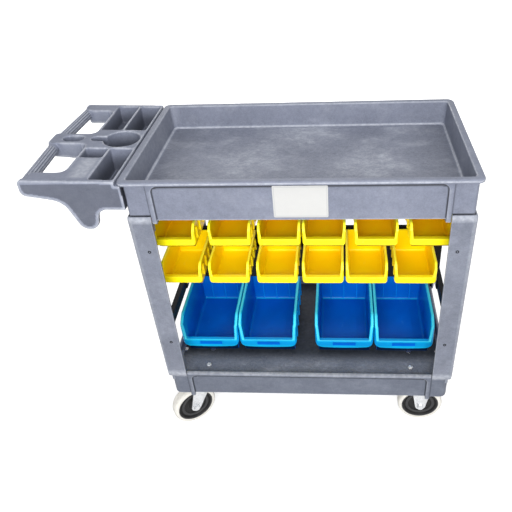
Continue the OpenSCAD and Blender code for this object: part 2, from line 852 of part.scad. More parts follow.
// Open-front bin. x runs across, y back from the front lip, z up from the base.
// edge is how far the rim, the front frame and the lugs stand out of the walls.
module bin(w, l, h, t, front_h, lip_h, lip_d, cheek_h, set_back, toe, edge, draft, lugs) {
  half = w / 2 - edge;
  lip_z = front_h - lip_h;
  bead = 2 * edge + 1;
  lug_w = 3 * t;
  lug_h = 0.45 * h;

  module outline() {
    polygon([
      [toe, 0], [l, 0], [l, h], [set_back, h], [0, cheek_h], [0, lip_z], [lip_d, lip_z]
    ]);
  }

  module hollow() {
    polygon([
      [toe + t, t], [l - t, t], [l - t, h + 1], [-1, h + 1], [-1, front_h],
      [lip_d + t, front_h], [lip_d + t, lip_z]
    ]);
  }

  module rim_outline() {
    polygon([
      [0, lip_z], [0, cheek_h], [set_back, h], [l, h], [l, h - bead],
      [set_back + bead / 2, h - bead], [bead, cheek_h - bead / 2], [bead, lip_z]
    ]);
  }

  // tapered section of the walls, seen from the front
  module taper(inset) {
    a = half - draft - inset;
    b = half - inset;
    translate([0, l + 1, 0]) rotate([90, 0, 0]) linear_extrude(l + 2)
      polygon([[-a, 0], [a, 0], [b, h], [b, h + 2], [-b, h + 2], [-b, h]]);
  }

  // front band with cut lower corners
  module band() {
    c = lip_h / 3;
    translate([0, t, 0]) rotate([90, 0, 0]) linear_extrude(t) polygon([
      [-w / 2 + c, lip_z], [w / 2 - c, lip_z], [w / 2, lip_z + c], [w / 2, front_h],
      [-w / 2, front_h], [-w / 2, lip_z + c]
    ]);
  }

  difference() {
    union() {
      intersection() {
        across(-half, 2 * half) outline();
        taper(0);
      }
      both_ends() across(half - draft - t / 2, edge + draft + t / 2) rim_outline();
      band();
      span([-w / 2, 0, front_h - t], [w / 2, lip_d + t, front_h]);
      both_ends() for (i = [1:lugs])
        translate([half - draft - t / 2, l * i / (lugs + 0.5) - lug_w / 2, h / 4])
          cube([edge + draft + t / 2, lug_w, lug_h]);
    }
    intersection() {
      across(-half, 2 * half) hollow();
      taper(t);
    }
    // hollow behind the front band
    span([-half + draft + t, t, lip_z - 1], [half - draft - t, lip_d, front_h - t]);
  }
}

module small_bin() {
  bin(small_w, small_l, small_h, small_wall, small_front_h, small_lip_h, bin_lip_d, small_cheek_h,
    small_set_back, small_toe, edge = 3, draft = 1.5, lugs = 4);
  // hook that drops into the rail channel
  reach = small_w / 2 - hook_side;
  span([-reach, small_l - eps, hook_z], [reach, small_l + hook_y + hook_t, hook_z + hook_t]);
  span([-reach, small_l + hook_y, hook_z - hook_drop], [reach, small_l + hook_y + hook_t, hook_z + eps]);
}

module large_bin() {
  slot_w = large_w / 2;
  slot_m = large_lip_h / 5;
  slot_d = large_wall / 3;
  hang_d = 8;
  hang_w = large_w / 2 - 2 * hang_d;
  hang_z = large_h - 10;
  back_rib_h = 0.85 * large_h;
  difference() {
    bin(large_w, large_l, large_h, large_wall, large_front_h, large_lip_h, bin_lip_d,
      large_cheek_h, large_set_back, large_toe, edge = 4, draft = 3, lugs = 5);
    // shallow label slot in the front band
    span([-slot_w / 2, -1, large_front_h - large_lip_h + slot_m],
      [slot_w / 2, slot_d, large_front_h - slot_m]);
  }
  // ribs inside the back wall
  for (x = [-large_w / 4, 0, large_w / 4])
    span([x - large_wall / 2, large_l - 2 * large_wall, large_wall - eps],
      [x + large_wall / 2, large_l - large_wall + eps, back_rib_h]);
  // hanging lip outside the back wall
  span([-hang_w, large_l - eps, hang_z], [hang_w, large_l + hang_d, hang_z + large_wall]);
  span([-hang_w, large_l + hang_d - large_wall, hang_z - 2 * hang_d],
    [hang_w, large_l + hang_d, hang_z + eps]);
}

// Left edge of each hanging bin along its rail
function sum_to(v, n) = n <= 0 ? 0 : v[n - 1] + sum_to(v, n - 1);
function free_rail() = 2 * (rail_x - row_start) - bins_per_row * small_w;
function hung_x(shares, i) =
  -rail_x + row_start + (i + 0.5) * small_w
  + free_rail() * sum_to(shares, i) / sum_to(shares, bins_per_row);

module hung_bin(row, i) {
  x = hung_x(row == 0 ? upper_shares : lower_shares, i);
  color(yellow) in_frame()
    translate([x, -small_front, rail_top[row] - bin_below_rail - small_h]) small_bin();
}

module standing_bin(i) {
  x = large_start + (i + 0.5) * large_w + ceil(i / 2) * large_gap + floor(i / 2) * pair_gap;
  color(blue) in_frame() translate([x, -large_front, shelf_floor + seat_gap]) large_bin();
}

// Casters, drawn at their own plate's middle with the ground at z = 0

// Touching point on a circle for a line from p; s picks the side
function touch(p, c, r, s) =
  let (d = norm(p - c), a = atan2(p[1] - c[1], p[0] - c[0]), b = acos(r / d))
  c + r * [cos(a + s * b), sin(a + s * b)];

// Side plate of a fork, tapering from its top edge to a round end at the axle
module fork_plate(top, back) {
  c = [-back, axle_z];
  a = [-fork_top_w / 2, top];
  b = [fork_top_w / 2, top];
  rotate([90, 0, 0]) difference() {
    linear_extrude(caster_t) {
      polygon([a, touch(a, c, fork_end_r, 1), c, touch(b, c, fork_end_r, -1), b]);
      translate(c) circle(fork_end_r);
    }
    translate([-back, axle_z, -1]) cylinder(r = axle_d / 2 + hole_gap, h = caster_t + 2);
  }
}

module fork_plates(top, back) {
  translate([0, -fork_in, 0]) fork_plate(top, back);
  translate([0, fork_in + caster_t, 0]) fork_plate(top, back);
}

module plate_holes() {
  for (sx = [-1, 1], sy = [-1, 1])
    translate([sx * plate_bolt_x / 2, sy * plate_bolt_y / 2, caster_h - caster_t - 1])
      cylinder(r = bolt_d / 2 + hole_gap, h = caster_t + 2);
}

module caster_plate() {
  translate([0, 0, caster_h - caster_t]) linear_extrude(caster_t) rounded([plate_l, plate_w], plate_r);
}

module at_caster(i) { translate([end_sign(i) * caster_x, side_sign(i) * caster_y, 0]) children(); }

// A swivel caster turns about its kingpin; a fixed one stays square
function turn(i) = end_sign(i) > 0 ? 0 : side_sign(i) < 0 ? swivel_front_a : swivel_rear_a;
function trail_of(i) = end_sign(i) > 0 ? 0 : trail;

module at_wheel(i) {
  at_caster(i) rotate(turn(i)) translate([-trail_of(i), 0, axle_z]) rotate([90, 0, 0]) children();
}

module fixed_fork(side) {
  color(zinc) in_frame() at_caster(2 * side + 1) difference() {
    union() {
      caster_plate();
      fork_plates(caster_h - caster_t + eps, 0);
    }
    plate_holes();
  }
}

module swivel_plate(side) {
  color(zinc) in_frame() at_caster(2 * side) difference() {
    caster_plate();
    plate_holes();
    translate([0, 0, caster_h - caster_t - 1]) cylinder(r = kingpin_d / 2 + hole_gap, h = caster_t + 2);
  }
}

module swivel_race(side) {
  color(zinc) in_frame() at_caster(2 * side) translate([0, 0, crown_z + seat_gap])
    rotate_extrude() polygon([
      [kingpin_d / 2 + hole_gap, 0], [race_d / 2 - 3, 0], [race_d / 2, 2], [race_d / 2, race_h],
      [kingpin_d / 2 + hole_gap, race_h]
    ]);
}

// Kingpin from the plate down to a collar under the fork
module kingpin(side) {
  bottom = crown_z - caster_t - seat_gap - collar_h;
  color(zinc) in_frame() at_caster(2 * side) translate([0, 0, bottom]) {
    cylinder(d = kingpin_d, h = caster_h - bottom);
    cylinder(d = 2 * kingpin_d, h = collar_h);
  }
}

module swivel_fork(side) {
  color(zinc) in_frame() at_caster(2 * side) rotate(turn(2 * side)) difference() {
    union() {
      translate([0, 0, crown_z - caster_t]) cylinder(d = crown_d, h = caster_t);
      fork_plates(crown_z, trail);
    }
    translate([0, 0, crown_z - caster_t - 1]) cylinder(r = kingpin_d / 2 + run_gap, h = caster_t + 2);
  }
}

// Axle bolt with its nut and the sleeve that the wheel runs on
module axle(i) {
  reach = fork_in + caster_t;
  color(zinc) in_frame() at_wheel(i) {
    translate([0, 0, reach]) hex_bolt(axle_d, 2 * reach);
    translate([0, 0, reach]) hex_nut(axle_d, 2 * reach);
    difference() {
      cylinder(d = sleeve_d, h = 2 * fork_in, center = true);
      cylinder(r = axle_d / 2 + hole_gap, h = 2 * fork_in + 2, center = true);
    }
  }
}

// Wheel core with a wide hub, a dished web and a raised ring on each face
module wheel(i) {
  bore = sleeve_d / 2 + run_gap;
  web = tread_w * 0.28;
  ring = core_r * 0.72;
  bead = core_r * 0.08;
  well = core_r * 0.88;
  lip = core_r * 0.96;
  face = tread_w * 0.47;
  color(black) in_frame() at_wheel(i) rotate_extrude() polygon([
    [bore, -hub_w / 2], [hub_d / 2, -hub_w / 2], [hub_d / 2, -web], [ring - bead, -web],
    [ring, -web - 0.7 * bead], [ring + bead, -web], [well, -web], [lip, -face], [core_r, -face],
    [core_r, face], [lip, face], [well, web], [ring + bead, web], [ring, web + 0.7 * bead],
    [ring - bead, web], [hub_d / 2, web], [hub_d / 2, hub_w / 2], [bore, hub_w / 2]
  ]);
}

module tyre(i) {
  r = wheel_d / 2;
  half = tread_w / 2;
  color(cream) in_frame() at_wheel(i) rotate_extrude() polygon([
    [core_r, -half], [0.936 * r, -half], [0.984 * r, -0.75 * half], [r, -half / 2], [r, half / 2],
    [0.984 * r, 0.75 * half], [0.936 * r, half], [core_r, half]
  ]);
}

module caster_bolts() {
  color(zinc) in_frame() at_caster_bolts() bolt_set(bolt_d, bolt_seat - caster_h + caster_t);
}

// Assembly

top_tray();
label_plate();
lower_shelf();
shelf_rim();
handle();
handle_bolts();
for (i = [0:3]) {
  post(i);
  axle(i);
  wheel(i);
  tyre(i);
  standing_bin(i);
}
post_bolts();
for (e = [0, 1]) {
  crossbar(0, e);
  crossbar(1, e);
  upright(e);
}
crossbar_screws();
rail(0);  // rail_upper
rail(1);  // rail_lower
rack_bolts();
for (i = [0:bins_per_row - 1]) {
  hung_bin(0, i);
  hung_bin(1, i);
}
for (s = [0, 1]) {
  fixed_fork(s);
  swivel_plate(s);
  swivel_race(s);
  kingpin(s);
  swivel_fork(s);
}
caster_bolts();
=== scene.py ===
import json
from functools import reduce
import bpy
import numpy as np
from mathutils import Matrix, Vector


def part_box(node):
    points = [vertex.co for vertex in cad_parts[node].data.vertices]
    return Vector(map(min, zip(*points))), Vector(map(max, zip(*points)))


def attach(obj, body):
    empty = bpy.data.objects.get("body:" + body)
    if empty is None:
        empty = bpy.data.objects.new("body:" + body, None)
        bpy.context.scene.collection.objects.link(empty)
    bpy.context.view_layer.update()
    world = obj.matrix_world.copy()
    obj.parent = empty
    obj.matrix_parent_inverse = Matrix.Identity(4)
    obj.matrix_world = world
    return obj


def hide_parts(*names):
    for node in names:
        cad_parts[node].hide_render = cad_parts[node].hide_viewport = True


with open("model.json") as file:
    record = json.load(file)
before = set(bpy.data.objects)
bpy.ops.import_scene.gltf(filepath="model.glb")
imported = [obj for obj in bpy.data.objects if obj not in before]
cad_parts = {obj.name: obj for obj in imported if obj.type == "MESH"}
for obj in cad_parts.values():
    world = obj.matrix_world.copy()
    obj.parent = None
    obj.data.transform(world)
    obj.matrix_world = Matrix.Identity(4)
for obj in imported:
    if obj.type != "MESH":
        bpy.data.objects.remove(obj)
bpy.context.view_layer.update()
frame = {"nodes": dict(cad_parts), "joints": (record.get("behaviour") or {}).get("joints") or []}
mm = 0.001
trayLow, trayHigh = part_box("top_tray")
home = np.array([(trayLow.x + trayHigh.x) / 2, (trayLow.y + trayHigh.y) / 2, 0])   # under the tray's middle
print("frame loaded:", len(frame["nodes"]), "nodes")


# Shader sums

class Flow:
    # one output socket of a node tree; sums of flows and numbers add Math nodes
    def __init__(self, tree, socket=None):
        self.tree = tree
        self.socket = socket

    def make(self, kind, settings=None, pick=0, **feeds):
        # any node: settings first, then a value or a link for each named socket; s6 is socket 6
        node = self.tree.nodes.new(kind)
        for key, value in (settings or {}).items():
            setattr(node, key, value)
        for key, value in feeds.items():
            numbered = key[0] == "s" and key[1:].isdigit()
            target = node.inputs[int(key[1:]) if numbered else key.replace("_", " ")]
            if isinstance(value, Flow):
                self.tree.links.new(value.socket, target)
            else:
                target.default_value = value
        return Flow(self.tree, node.outputs[pick] if len(node.outputs) else None)

    def sum(self, operation, *values):
        feeds = {f"s{i}": v for i, v in enumerate(values)}
        return self.make("ShaderNodeMath", {"operation": operation}, **feeds)

    def __add__(self, other): return self.sum("ADD", self, other)
    def __radd__(self, other): return self.sum("ADD", other, self)
    def __sub__(self, other): return self.sum("SUBTRACT", self, other)
    def __rsub__(self, other): return self.sum("SUBTRACT", other, self)
    def __mul__(self, other): return self.sum("MULTIPLY", self, other)
    def __rmul__(self, other): return self.sum("MULTIPLY", other, self)
    def above(self): return self.sum("MAXIMUM", self, 0.0)
    def below(self): return self.sum("MAXIMUM", self * -1.0, 0.0)

    def rise(self, low, high):
        # 0 below low, 1 above high, smooth between
        return self.make("ShaderNodeMapRange", {"interpolation_type": "SMOOTHSTEP"},
                         Value=self, From_Min=low, From_Max=high)

    def tint(self, first, second):
        # colour that goes from first to second as this flow goes from 0 to 1
        return self.make("ShaderNodeMix", {"data_type": "RGBA"}, pick=2, s0=self, s6=first, s7=second)


def startFinish(name):
    material = bpy.data.materials.new(name)
    material.use_nodes = True
    material.node_tree.nodes.clear()
    flow = Flow(material.node_tree)
    place = flow.make("ShaderNodeTexCoord", pick=3)
    return material, flow, place


def endFinish(flow, **feeds):
    shader = flow.make("ShaderNodeBsdfPrincipled", **feeds)
    flow.make("ShaderNodeOutputMaterial", Surface=shader)


def cloud(place, scale, detail=4.0, roughness=0.55, distortion=0.0):
    return place.make("ShaderNodeTexNoise", Vector=place, Scale=scale, Detail=detail,
                      Roughness=roughness, Distortion=distortion)


def streaks(place, stretch, scale, detail=3.0):
    # noise drawn out along one axis
    drawn = place.make("ShaderNodeMapping", Vector=place, Scale=stretch)
    return cloud(drawn, scale, detail)


def mark(flow, name):
    return flow.make("ShaderNodeAttribute", {"attribute_name": name}, pick=2)


def coordinate(place, axis):
    return place.make("ShaderNodeSeparateXYZ", pick=axis, Vector=place)


def bump(height, strength, distance):
    return height.make("ShaderNodeBump", Height=height, Strength=strength, Distance=distance)


def rgb(r, g, b):
    return (r, g, b, 1.0)


# dark is the colour of painted shade; worn is the colour of edges made lighter by wear and painted highlight
greyTones = {"base": rgb(0.2, 0.218, 0.283), "deep": rgb(0.126, 0.139, 0.185),
             "dark": rgb(0.023, 0.025, 0.032), "worn": rgb(0.483, 0.506, 0.564),
             "scuff": rgb(0.405, 0.427, 0.492), "edge": 0.7, "haze": 0.45, "patch": 0.45, "grain": 0.00005,
             "shine": 0.28}
# the handle's copy of this grey is a little lighter, as painted light; the shelf's and the posts' copies are
# darker, as painted shade
handleTones = {**greyTones, "base": rgb(0.204, 0.223, 0.293), "deep": rgb(0.132, 0.147, 0.199)}
shelfTones = {**greyTones, "base": rgb(0.144, 0.160, 0.204), "deep": rgb(0.095, 0.107, 0.140),
              "dark": rgb(0.012, 0.016, 0.021), "shine": 0.12}
postTones = {**greyTones, "base": rgb(0.176, 0.192, 0.243), "deep": rgb(0.105, 0.116, 0.15)}
trayPatches = {"at": ((-0.155, 0.0), (0.15, -0.015), (-0.02, 0.15)), "deep": 0.062, "near": 0.02, "far": 0.12,
               "ragged": 0.17}
# painted shade on the shelf floor where the large bins stand, behind the front edge and below the lip
shelfUnderShade = {"front": (-0.15, -0.1), "lip": (0.231, 0.236), "floor": (0.55, 0.75), "share": 0.84,
              "mottle": 0.1}


def patchy(place, d):
    # pale handling patches on a floor: 1 at each centre, ragged, 0 past the far distance
    ragged = (cloud(place, 15.0, 6.0, 0.66) - 0.5) * d["ragged"]
    total = 0.0
    for x, y in d["at"]:
        apart = place.make("ShaderNodeVectorMath", {"operation": "DISTANCE"}, pick=1, s0=place,
                           s1=(x + home[0], y, trayHigh.z - d["deep"]))
        total = total + (1 - (apart + ragged).rise(d["near"], d["far"]))
    return total


def greyMoulding(name, tones, grimy=False, patched=False):
    # satin moulded plastic: mottled tone, pale smears where marked, edges lighter by wear and painted
    # highlight, painted shade in creases, fine grain; painted shade on the shelf floor where the large bins
    # stand, a patched one pale on its floor
    material, flow, place = startFinish(name)
    drawn = place.make("ShaderNodeMapping", Vector=place, Rotation=(0, 0, 0.35), Scale=(1.0, 1.5, 1.3))
    drift = cloud(place, 6.0, 7.0, 0.68).rise(0.32, 0.68)
    mottle = cloud(place, 70.0, 5.0, 0.7).rise(0.3, 0.7)
    smear = cloud(drawn, 9.0, 9.0, 0.68, 0.25).rise(0.44, 0.7)
    brushed = cloud(drawn, 42.0, 7.0, 0.66, 0.4).rise(0.36, 0.68)
    swirl = cloud(drawn, 120.0, 5.0, 0.7, 0.9).rise(0.36, 0.66)
    speckle = cloud(place, 330.0, 3.0, 0.6).rise(0.3, 0.7)
    grain = cloud(place, 950.0, 2.0)
    nick = cloud(place, 95.0, 4.0).rise(0.38, 0.66)
    scratch = streaks(place, (3.0, 60.0, 60.0), 9.0, 4.0).rise(0.68, 0.75)
    scuffed, worn = mark(flow, "scuff"), mark(flow, "wear")
    rubbedAndLit, paintedShade = worn.above() * (0.55 + nick * 0.45), worn.below()
    haze = smear * (0.35 + brushed * 0.65)
    tone = (drift * 0.4 + mottle * 0.33 + speckle * 0.27).tint(tones["deep"], tones["base"])
    pale = haze * (0.16 + scuffed * tones["haze"]) + swirl * scuffed * 0.2 + speckle * scuffed * 0.09
    if patched:
        spread = (0.25 + brushed * 0.45 + swirl * 0.4) * tones["patch"]
        pale = pale + patchy(place, trayPatches) * scuffed.rise(0.7, 0.95) * spread
    tone = pale.tint(tone, tones["scuff"])
    tone = (scratch * (0.12 + scuffed * 0.3)).tint(tone, tones["scuff"])
    # edges lighter by wear and painted highlight where the mark is above 0; painted shade where it is below 0
    tone = (rubbedAndLit * tones["edge"]).tint(tone, tones["worn"])
    tone = paintedShade.tint(tone, tones["dark"])
    # painted shade: the shelf floor darkened where the large bins stand over it
    if grimy:
        d = shelfUnderShade
        behind, low = coordinate(place, 1).rise(*d["front"]), 1 - coordinate(place, 2).rise(*d["lip"])
        under = behind * low * scuffed.rise(*d["floor"])
        tone = (under * (d["share"] + mottle * d["mottle"])).tint(tone, tones["dark"])
    gloss = 0.45 + haze * 0.14 + grain * 0.06 - rubbedAndLit * 0.06
    relief = bump(grain * 0.8 + brushed * 0.5 + scratch * 0.4, 0.35, tones["grain"])
    endFinish(flow, Base_Color=tone, Roughness=gloss, Normal=relief, Specular_IOR_Level=tones["shine"])
    return material


rowSplit = (0.58, 0.61)         # height between the lower and the upper row of small bins
# core, coreLow and coreHigh: painted bounce light (orange in the yellow) and painted shade (deeper in the
# blue) in the tubs, stronger in the upper row; edge: lips lighter, partly painted highlight; glint: painted
# highlight; shade: painted shade
binTones = {
    "yellow": {"base": rgb(0.98, 0.78, 0.001), "deep": rgb(0.96, 0.68, 0.0), "edge": rgb(0.98, 0.93, 0.012),
               "glint": rgb(1.0, 0.96, 0.05), "core": rgb(0.96, 0.46, 0.0), "coreLow": 0.08, "coreHigh": 0.5,
               "scuff": rgb(0.95, 0.83, 0.2), "shade": rgb(0.16, 0.08, 0.0), "edgeShare": 0.8, "gloss": 0.3,
               "shine": 0.25},
    "blue": {"base": rgb(0.0, 0.168, 0.75), "deep": rgb(0.0, 0.13, 0.63), "edge": rgb(0.008, 0.66, 0.84),
             "glint": rgb(0.12, 0.75, 0.9), "core": rgb(0.0, 0.07, 0.36), "coreLow": 0.5, "coreHigh": 0.0,
             "scuff": rgb(0.1, 0.33, 0.7), "shade": rgb(0.002, 0.006, 0.02), "edgeShare": 0.9, "gloss": 0.3,
             "shine": 0.14},
}


def binGloss(name, tones):
    # glossy moulded plastic: flow tone, painted bounce light and shade deeper in the tub, lips lighter partly
    # as painted highlight, painted highlight lines on edges, painted shade under the lips, small scuffs,
    # faint orange peel
    material, flow, place = startFinish(name)
    drift = cloud(place, 9.0, 4.0, 0.5).rise(0.3, 0.7)
    scuff = streaks(place, (20.0, 6.0, 34.0), 4.0, 5.0).rise(0.63, 0.74)
    peel = cloud(place, 210.0, 2.0)
    grain = cloud(place, 1100.0, 2.0)
    worn = mark(flow, "wear")
    lip, paintedShade = worn.above(), worn.below()
    tone = drift.tint(tones["deep"], tones["base"])
    # painted bounce light and shade deep in the tub, stronger in the upper row under the tray
    upper = coordinate(place, 2).rise(*rowSplit)
    core = mark(flow, "scuff") * (tones["coreLow"] + upper * tones["coreHigh"])
    tone = core.tint(tone, tones["core"])
    # lips lighter, partly as painted highlight, with a painted highlight line where the mark is highest;
    # painted shade below 0
    tone = (lip * (0.75 + drift * 0.25) * tones["edgeShare"]).tint(tone, tones["edge"])
    tone = (lip.rise(0.82, 1.0) * 0.7).tint(tone, tones["glint"])
    tone = (scuff * 0.14).tint(tone, tones["scuff"])
    tone = paintedShade.tint(tone, tones["shade"])
    gloss = tones["gloss"] + scuff * 0.16 + grain * 0.05
    relief = bump(peel * 0.7 + grain * 0.3 + scuff * 0.4, 0.3, 0.00005)
    endFinish(flow, Base_Color=tone, Roughness=gloss, Normal=relief, Specular_IOR_Level=tones["shine"])
    return material


coatTones = {"base": rgb(0.009, 0.009, 0.01), "dust": rgb(0.026, 0.026, 0.028), "speck": rgb(0.1, 0.1, 0.1),
             "shine": 0.12}


def blackCoating(tones):
    # satin black coating on folded steel: orange peel, dusty patches, a few worn specks
    material, flow, place = startFinish("blackCoating")
    dust = cloud(place, 16.0, 6.0, 0.65).rise(0.45, 0.75)
    peel = cloud(place, 420.0, 3.0)
    speck = cloud(place, 180.0, 3.0).rise(0.7, 0.76)
    tone = (dust * 0.5).tint(tones["base"], tones["dust"])
    tone = (speck * 0.35).tint(tone, tones["speck"])
    gloss = 0.4 + dust * 0.16 + peel * 0.06
    relief = bump(peel + speck * 0.4, 0.3, 0.00006)
    endFinish(flow, Base_Color=tone, Roughness=gloss, Normal=relief, Specular_IOR_Level=tones["shine"])
    return material


zincTones = {"low": rgb(0.52, 0.53, 0.55), "high": rgb(0.74, 0.75, 0.76), "dull": rgb(0.42, 0.41, 0.39),
             "metal": 0.95}
# a brighter, less metallic copy for the bolt heads at the shelf's open front: painted light
litZincTones = {**zincTones, "low": rgb(0.6656, 0.6784, 0.704), "high": rgb(0.9472, 0.96, 0.9728), "metal": 0.3}


def brightZinc(name, tones):
    # bright zinc plate: crystal patches, faint rolling lines, dull spots
    material, flow, place = startFinish(name)
    crystal = place.make("ShaderNodeTexVoronoi", pick=1, Vector=place, Scale=240.0)
    patch = crystal.make("ShaderNodeSeparateColor", Color=crystal)
    lines = streaks(place, (1.0, 14.0, 14.0), 60.0)
    dull = cloud(place, 45.0, 5.0, 0.6).rise(0.5, 0.75)
    tone = (patch * 0.5 + lines * 0.3).tint(tones["low"], tones["high"])
    tone = (dull * 0.35).tint(tone, tones["dull"])
    gloss = 0.22 + patch * 0.1 + dull * 0.2 + lines * 0.06
    relief = bump(lines * 0.6 + patch * 0.3, 0.2, 0.00004)
    endFinish(flow, Base_Color=tone, Roughness=gloss, Metallic=tones["metal"] - dull * 0.25, Normal=relief)
    return material


coreTones = {"base": rgb(0.007, 0.007, 0.0075), "dust": rgb(0.03, 0.029, 0.027), "edge": rgb(0.1, 0.1, 0.105),
             "shine": 0.2}


def wheelPlastic(tones):
    # black moulded wheel core: satin, a painted highlight greying its raised edges, dusty in the web
    material, flow, place = startFinish("wheelPlastic")
    dust = cloud(place, 40.0, 6.0, 0.65).rise(0.42, 0.72)
    grain = cloud(place, 800.0, 2.0)
    tone = (dust * 0.45).tint(tones["base"], tones["dust"])
    tone = (mark(flow, "wear") * 0.5).tint(tone, tones["edge"])
    gloss = 0.42 + dust * 0.16 + grain * 0.06
    relief = bump(grain + dust * 0.3, 0.3, 0.00006)
    endFinish(flow, Base_Color=tone, Roughness=gloss, Normal=relief, Specular_IOR_Level=tones["shine"])
    return material


creamTones = {"base": rgb(0.77, 0.75, 0.70), "dirt": rgb(0.45, 0.42, 0.38), "speck": rgb(0.3, 0.28, 0.25),
              "shine": 0.35}


def creamRubber(tones):
    # cream tyre: floor dirt in blotches on the tread, finer speckle on the sides
    material, flow, place = startFinish("creamRubber")
    dirt = cloud(place, 38.0, 7.0, 0.68, 0.6).rise(0.46, 0.72)
    speck = cloud(place, 260.0, 3.0).rise(0.55, 0.72)
    tread = mark(flow, "wear")
    tone = (dirt * (0.12 + tread * 0.4)).tint(tones["base"], tones["dirt"])
    tone = (speck * (0.06 + tread * 0.2)).tint(tone, tones["speck"])
    relief = bump(dirt * 0.6 + speck, 0.35, 0.00012)
    gloss = 0.55 + dirt * 0.2
    endFinish(flow, Base_Color=tone, Roughness=gloss, Normal=relief, Specular_IOR_Level=tones["shine"])
    return material


labelTones = {"low": rgb(0.465, 0.465, 0.458), "high": rgb(0.495, 0.495, 0.487), "hair": rgb(0.3, 0.31, 0.33)}


def bareLabel(tones):
    # bare white plate: faint mottling, a soft sheen, hairline scratches and a painted shade line along its
    # raised border
    material, flow, place = startFinish("bareLabel")
    mottle = cloud(place, 60.0, 4.0)
    hair = streaks(place, (30.0, 10.0, 3.0), 12.0, 4.0).rise(0.66, 0.74)
    tone = mottle.tint(tones["low"], tones["high"])
    # the wear mark paints a shade line along the raised border in the hairline colour
    tone = (hair * 0.2 + mark(flow, "wear") * 0.6).tint(tone, tones["hair"])
    relief = bump(hair + mottle * 0.2, 0.2, 0.00004)
    endFinish(flow, Base_Color=tone, Roughness=0.28 + mottle * 0.08 + hair * 0.12, Normal=relief)
    return material


postGrey = greyMoulding("postMoulding", postTones)
trayGrey = greyMoulding("trayMoulding", greyTones, patched=True)
shelfGrey = greyMoulding("shelfMoulding", shelfTones, grimy=True)
handleGrey = greyMoulding("handleMoulding", handleTones)
yellow = binGloss("yellowGloss", binTones["yellow"])
blue = binGloss("blueGloss", binTones["blue"])
black = blackCoating(coatTones)
zinc = brightZinc("brightZinc", zincTones)
paleZinc = brightZinc("paleZinc", litZincTones)
coreBlack = wheelPlastic(coreTones)
cream = creamRubber(creamTones)
plateWhite = bareLabel(labelTones)
print("finishes made")


# Surfaces: every shape is a stack of rings, millimetres from under the tray's middle

def smooth(low, high, v):
    # 0 at low, 1 at high, t t (3 - 2 t) between
    t = np.clip((v - low) / (high - low), 0, 1)
    return t * t * (3 - 2 * t)


def quarter(steps):
    # sine and cosine over a quarter turn, for a rounded edge
    a = np.linspace(0, np.pi / 2, steps)
    return list(zip(np.sin(a), np.cos(a)))


def ringPattern(frontAt, sideAt, cornerSteps):
    # samples of a rounded rectangle, anticlockwise from the front left:
    # x = x0 (1 - fx) + x1 fx + r gx, and y the same way
    f, s = np.asarray(frontAt, float), np.asarray(sideAt, float)
    a = np.linspace(0, np.pi / 2, cornerSteps)
    fo, so, ao = np.zeros_like(f), np.zeros_like(s), np.zeros_like(a)
    bits = [
        (f, 1 - 2 * f, fo, fo, fo),
        (ao + 1, np.sin(a) - 1, ao, 1 - np.cos(a), a * 2 / np.pi),
        (so + 1, so, s, 1 - 2 * s, so + 1),
        (ao + 1, np.cos(a) - 1, ao + 1, np.sin(a) - 1, ao + 1),
        (f[::-1], 1 - 2 * f[::-1], fo + 1, fo, fo + 1),
        (ao, 1 - np.sin(a), ao + 1, np.cos(a) - 1, ao + 1),
        (so, so, s[::-1], 1 - 2 * s[::-1], so + 1),
        (ao, 1 - np.cos(a), ao, 1 - np.sin(a), 1 - a * 2 / np.pi),
    ]
    return np.concatenate([np.stack(b) for b in bits], 1)


def ring(pattern, x0, x1, y0, y1, r, z):
    fx, gx, fy, gy = pattern[:4]
    x = x0 * (1 - fx) + x1 * fx + r * gx
    y = y0 * (1 - fy) + y1 * fy + r * gy
    return np.stack([x, y, z + 0 * x], 1)


def outward(stuff):
    # turns every face over where the closed surface's volume comes out negative
    points, quads = stuff["points"], stuff["quads"]
    a, b, c, d = points[quads].transpose(1, 0, 2)
    volume = np.sum(a * np.cross(b, c)) + np.sum(a * np.cross(c, d))
    for end in stuff["ends"]:
        p = points[end]
        volume += np.sum(p[0] * np.cross(p[1:-1], p[2:]))
    if volume < 0:
        stuff["quads"] = quads[:, ::-1]
        stuff["ends"] = [end[::-1] for end in stuff["ends"]]
    return stuff


def skin(rings, wear=0.0, scuff=0.0, looped=False):
    # quads between neighbouring rings; the first and last ring are filled, or joined when looped
    rows, columns = len(rings), len(rings[0])
    points = np.concatenate(rings)
    i = np.arange(rows if looped else rows - 1)[:, None]
    j = np.arange(columns)[None, :]
    k, n = (j + 1) % columns, (i + 1) % rows
    quads = np.stack([i * columns + j, i * columns + k, n * columns + k, n * columns + j], -1).reshape(-1, 4)
    first = np.arange(columns)
    ends = [] if looped else [first[::-1], first + (rows - 1) * columns]
    marks = {}
    # per point: the wear mark, which also carries painted highlight above 0 and painted shade below 0; the
    # scuff mark, which on bins holds painted bounce light and shade
    for name, value in (("wear", wear), ("scuff", scuff)):
        each = value if isinstance(value, (list, np.ndarray)) else [value] * rows
        marks[name] = np.concatenate([np.broadcast_to(np.asarray(v, float), columns) for v in each])
    return outward({"points": points, "quads": quads, "ends": ends, **marks})


def together(*stuffs):
    # several surfaces as one
    starts = np.cumsum([0] + [len(s["points"]) for s in stuffs])
    joined = {key: np.concatenate([s[key] for s in stuffs]) for key in ("points", "wear", "scuff")}
    joined["quads"] = np.concatenate([s["quads"] + n for s, n in zip(stuffs, starts)])
    joined["ends"] = [end + n for s, n in zip(stuffs, starts) for end in s["ends"]]
    return joined


def mirrored(stuff, x, y):
    # the same surface with its x and y multiplied by 1 or -1
    return outward({**stuff, "points": stuff["points"] * (x, y, 1)})


def bothWays(stuff, xs=(1, -1), ys=(1, -1)):
    # copies mirrored to the other end and the other side
    return together(*[mirrored(stuff, x, y) for x in xs for y in ys])


